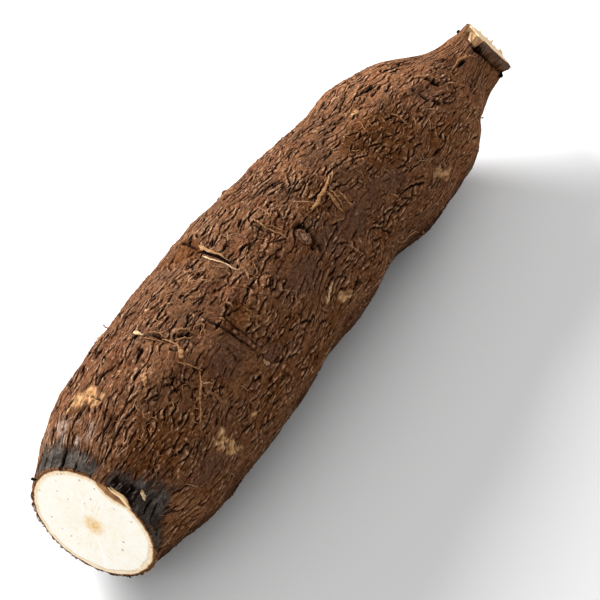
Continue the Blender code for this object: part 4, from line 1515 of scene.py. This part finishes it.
def value_at(grid, place, angle):
    column = int(angle % 360 / 360 * COLUMNS) % COLUMNS
    return grid[int(np.interp(place, distance[:, column], np.arange(RINGS + 1))), column]


def near_floor(place, angle):
    return skin_at(place, angle)[0][2] < FLOOR_MARGIN


scales = []
while len(scales) < SCALE_COUNT:
    place, angle = scatter.uniform(8, 262), scatter.uniform(0, 360)
    half_length, half_width = scatter.uniform(1.2, 2.8), scatter.uniform(0.35, 0.75)
    lean = scatter.normal(0, 3.5)
    tilt = scatter.choice((-1, 1)) * scatter.uniform(12, 34)
    lift = scatter.uniform(0.1, 0.3)
    if value_at(grey, place, angle) > 0.2 or value_at(even, place, angle) > scatter.uniform(0.2, 1):
        continue
    if near_floor(place, angle) or value_at(near_split, place, angle) > 0.08:
        continue
    stops = (
        (place - half_length, angle - lean, 0, 0.12),
        (place - 0.4 * half_length, angle - 0.5 * lean, lift, half_width),
        (place + 0.4 * half_length, angle + 0.4 * lean, lift, half_width),
        (place + half_length, angle + lean, 0, 0.12),
    )
    piece, _, _ = strand("scale", stops, 0.22, tilt, 7, 6)
    # Each scale takes a share of the crests' pale edge and painted highlight.
    keep_values(
        piece,
        relief=scatter.uniform(0.02, 0.22),
        golden=value_at(golden, place, angle),
        pale=value_at(bark_pale_and_underside_shade, place, angle),
        grain=read_rows(piece.data),
    )
    scales.append(piece)
piece = joined(scales, "loose_scales")
piece.data.materials.append(bark)
piece.data.shade_smooth()
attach(piece, "root")
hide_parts("cassava_root")

threads = []
while len(threads) < THREAD_COUNT:
    place, angle = scatter.uniform(12, 255), scatter.uniform(0, 360)
    if value_at(curly, place, angle) < scatter.uniform(0.1, 0.9) or near_floor(place, angle):
        continue
    heading, stops = scatter.uniform(0, math.tau), []
    for step in range(5):
        waxing = math.sin(step / 4 * math.pi)
        stops.append((place, angle, 0.05 + 0.3 * waxing, 0.10 + 0.14 * waxing))
        heading += scatter.normal(0, 0.6)
        place, angle = place + 1.0 * math.cos(heading), angle + 1.7 * math.sin(heading)
    piece, _, _ = strand("thread", stops, 0.5, 0, 9, 6)
    keep_values(piece, pale=scatter.uniform(0.1, 0.6), black=0)
    threads.append(piece)
piece = joined(threads, "curly_threads")
piece.data.materials.append(dry_fibre)
piece.data.shade_smooth()
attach(piece, "root")
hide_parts("cassava_root")

crumbs = []
for number in range(CRUMB_COUNT):
    kind = ("edge", "rind", "clump", "edge")[number % 4] if number < MIXED_CRUMBS else "edge"
    angle = {
        "edge": scatter.uniform(160, 365), "rind": scatter.normal(200, 13), "clump": scatter.normal(286, 3),
    }[kind]
    size = scatter.uniform(0.2, 0.5) + 0.25 * (kind == "clump")
    place, height = scatter.uniform(0.5, 1.2), scatter.uniform(-0.5, 0.1)
    stretch, lean = 2.4 * scatter.uniform(0.8, 2.0) * size, scatter.normal(0, 0.3)
    stops = (
        (place - lean, angle - stretch, height, 0.1),
        (place, angle, height, size),
        (place + lean, angle + stretch, height, 0.1),
    )
    piece, _, _ = strand("crumb", stops, 2 * size, 0, 6, 6)
    pale = scatter.uniform(0.4, 1.0) if kind == "rind" else scatter.uniform(-0.3, 0.6) ** 2
    keep_values(piece, pale=pale, black=0.7 * (scatter.uniform(0, 1) > 0.7) * (kind != "rind"))
    crumbs.append(piece)
piece = joined(crumbs, "saw_crumbs")
piece.data.materials.append(dry_fibre)
piece.data.shade_smooth()
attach(piece, "root")
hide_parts("cassava_root")


# The floor: a plain pale sheet, and no part of the root.
bpy.ops.mesh.primitive_plane_add(size=6)
floor = bpy.context.object
floor.name = "floor"
paper = bpy.data.materials.new("paper")
paper.use_nodes = True
paper.node_tree.nodes["Principled BSDF"].inputs["Base Color"].default_value = (0.9, 0.9, 0.9, 1)
paper.node_tree.nodes["Principled BSDF"].inputs["Roughness"].default_value = 0.9
floor.data.materials.append(paper)


# Light: a broad soft lamp low on the root's far left, weak ones before its sawn end and beyond its neck, and
# a pale room. Each lamp is: name, the way to it, how broad it is in metres, and its watts.
LAMP_DISTANCE = 1.1
LAMPS = (
    ("main_lamp", (0.12, 0.86, 0.44), 0.5, 24),
    ("front_lamp", (-0.87, 0.0, 0.45), 0.8, 3),
    ("neck_lamp", (0.92, 0.05, 0.40), 0.6, 3.2),
)
for name, way, size, watts in LAMPS:
    way = Vector(way).normalized()
    lamp = bpy.data.objects.new(name, bpy.data.lights.new(name, "AREA"))
    lamp.data.shape = "DISK"
    lamp.data.size = size
    lamp.data.energy = watts
    lamp.location = way * LAMP_DISTANCE
    lamp.rotation_euler = way.to_track_quat("Z", "Y").to_euler()
    bpy.context.scene.collection.objects.link(lamp)
room = bpy.data.worlds.new("room")
room.use_nodes = True
room.node_tree.nodes["Background"].inputs["Color"].default_value = (1, 1, 1, 1)
room.node_tree.nodes["Background"].inputs["Strength"].default_value = 0.45
bpy.context.scene.world = room
bpy.context.scene.view_settings.view_transform = "Standard"
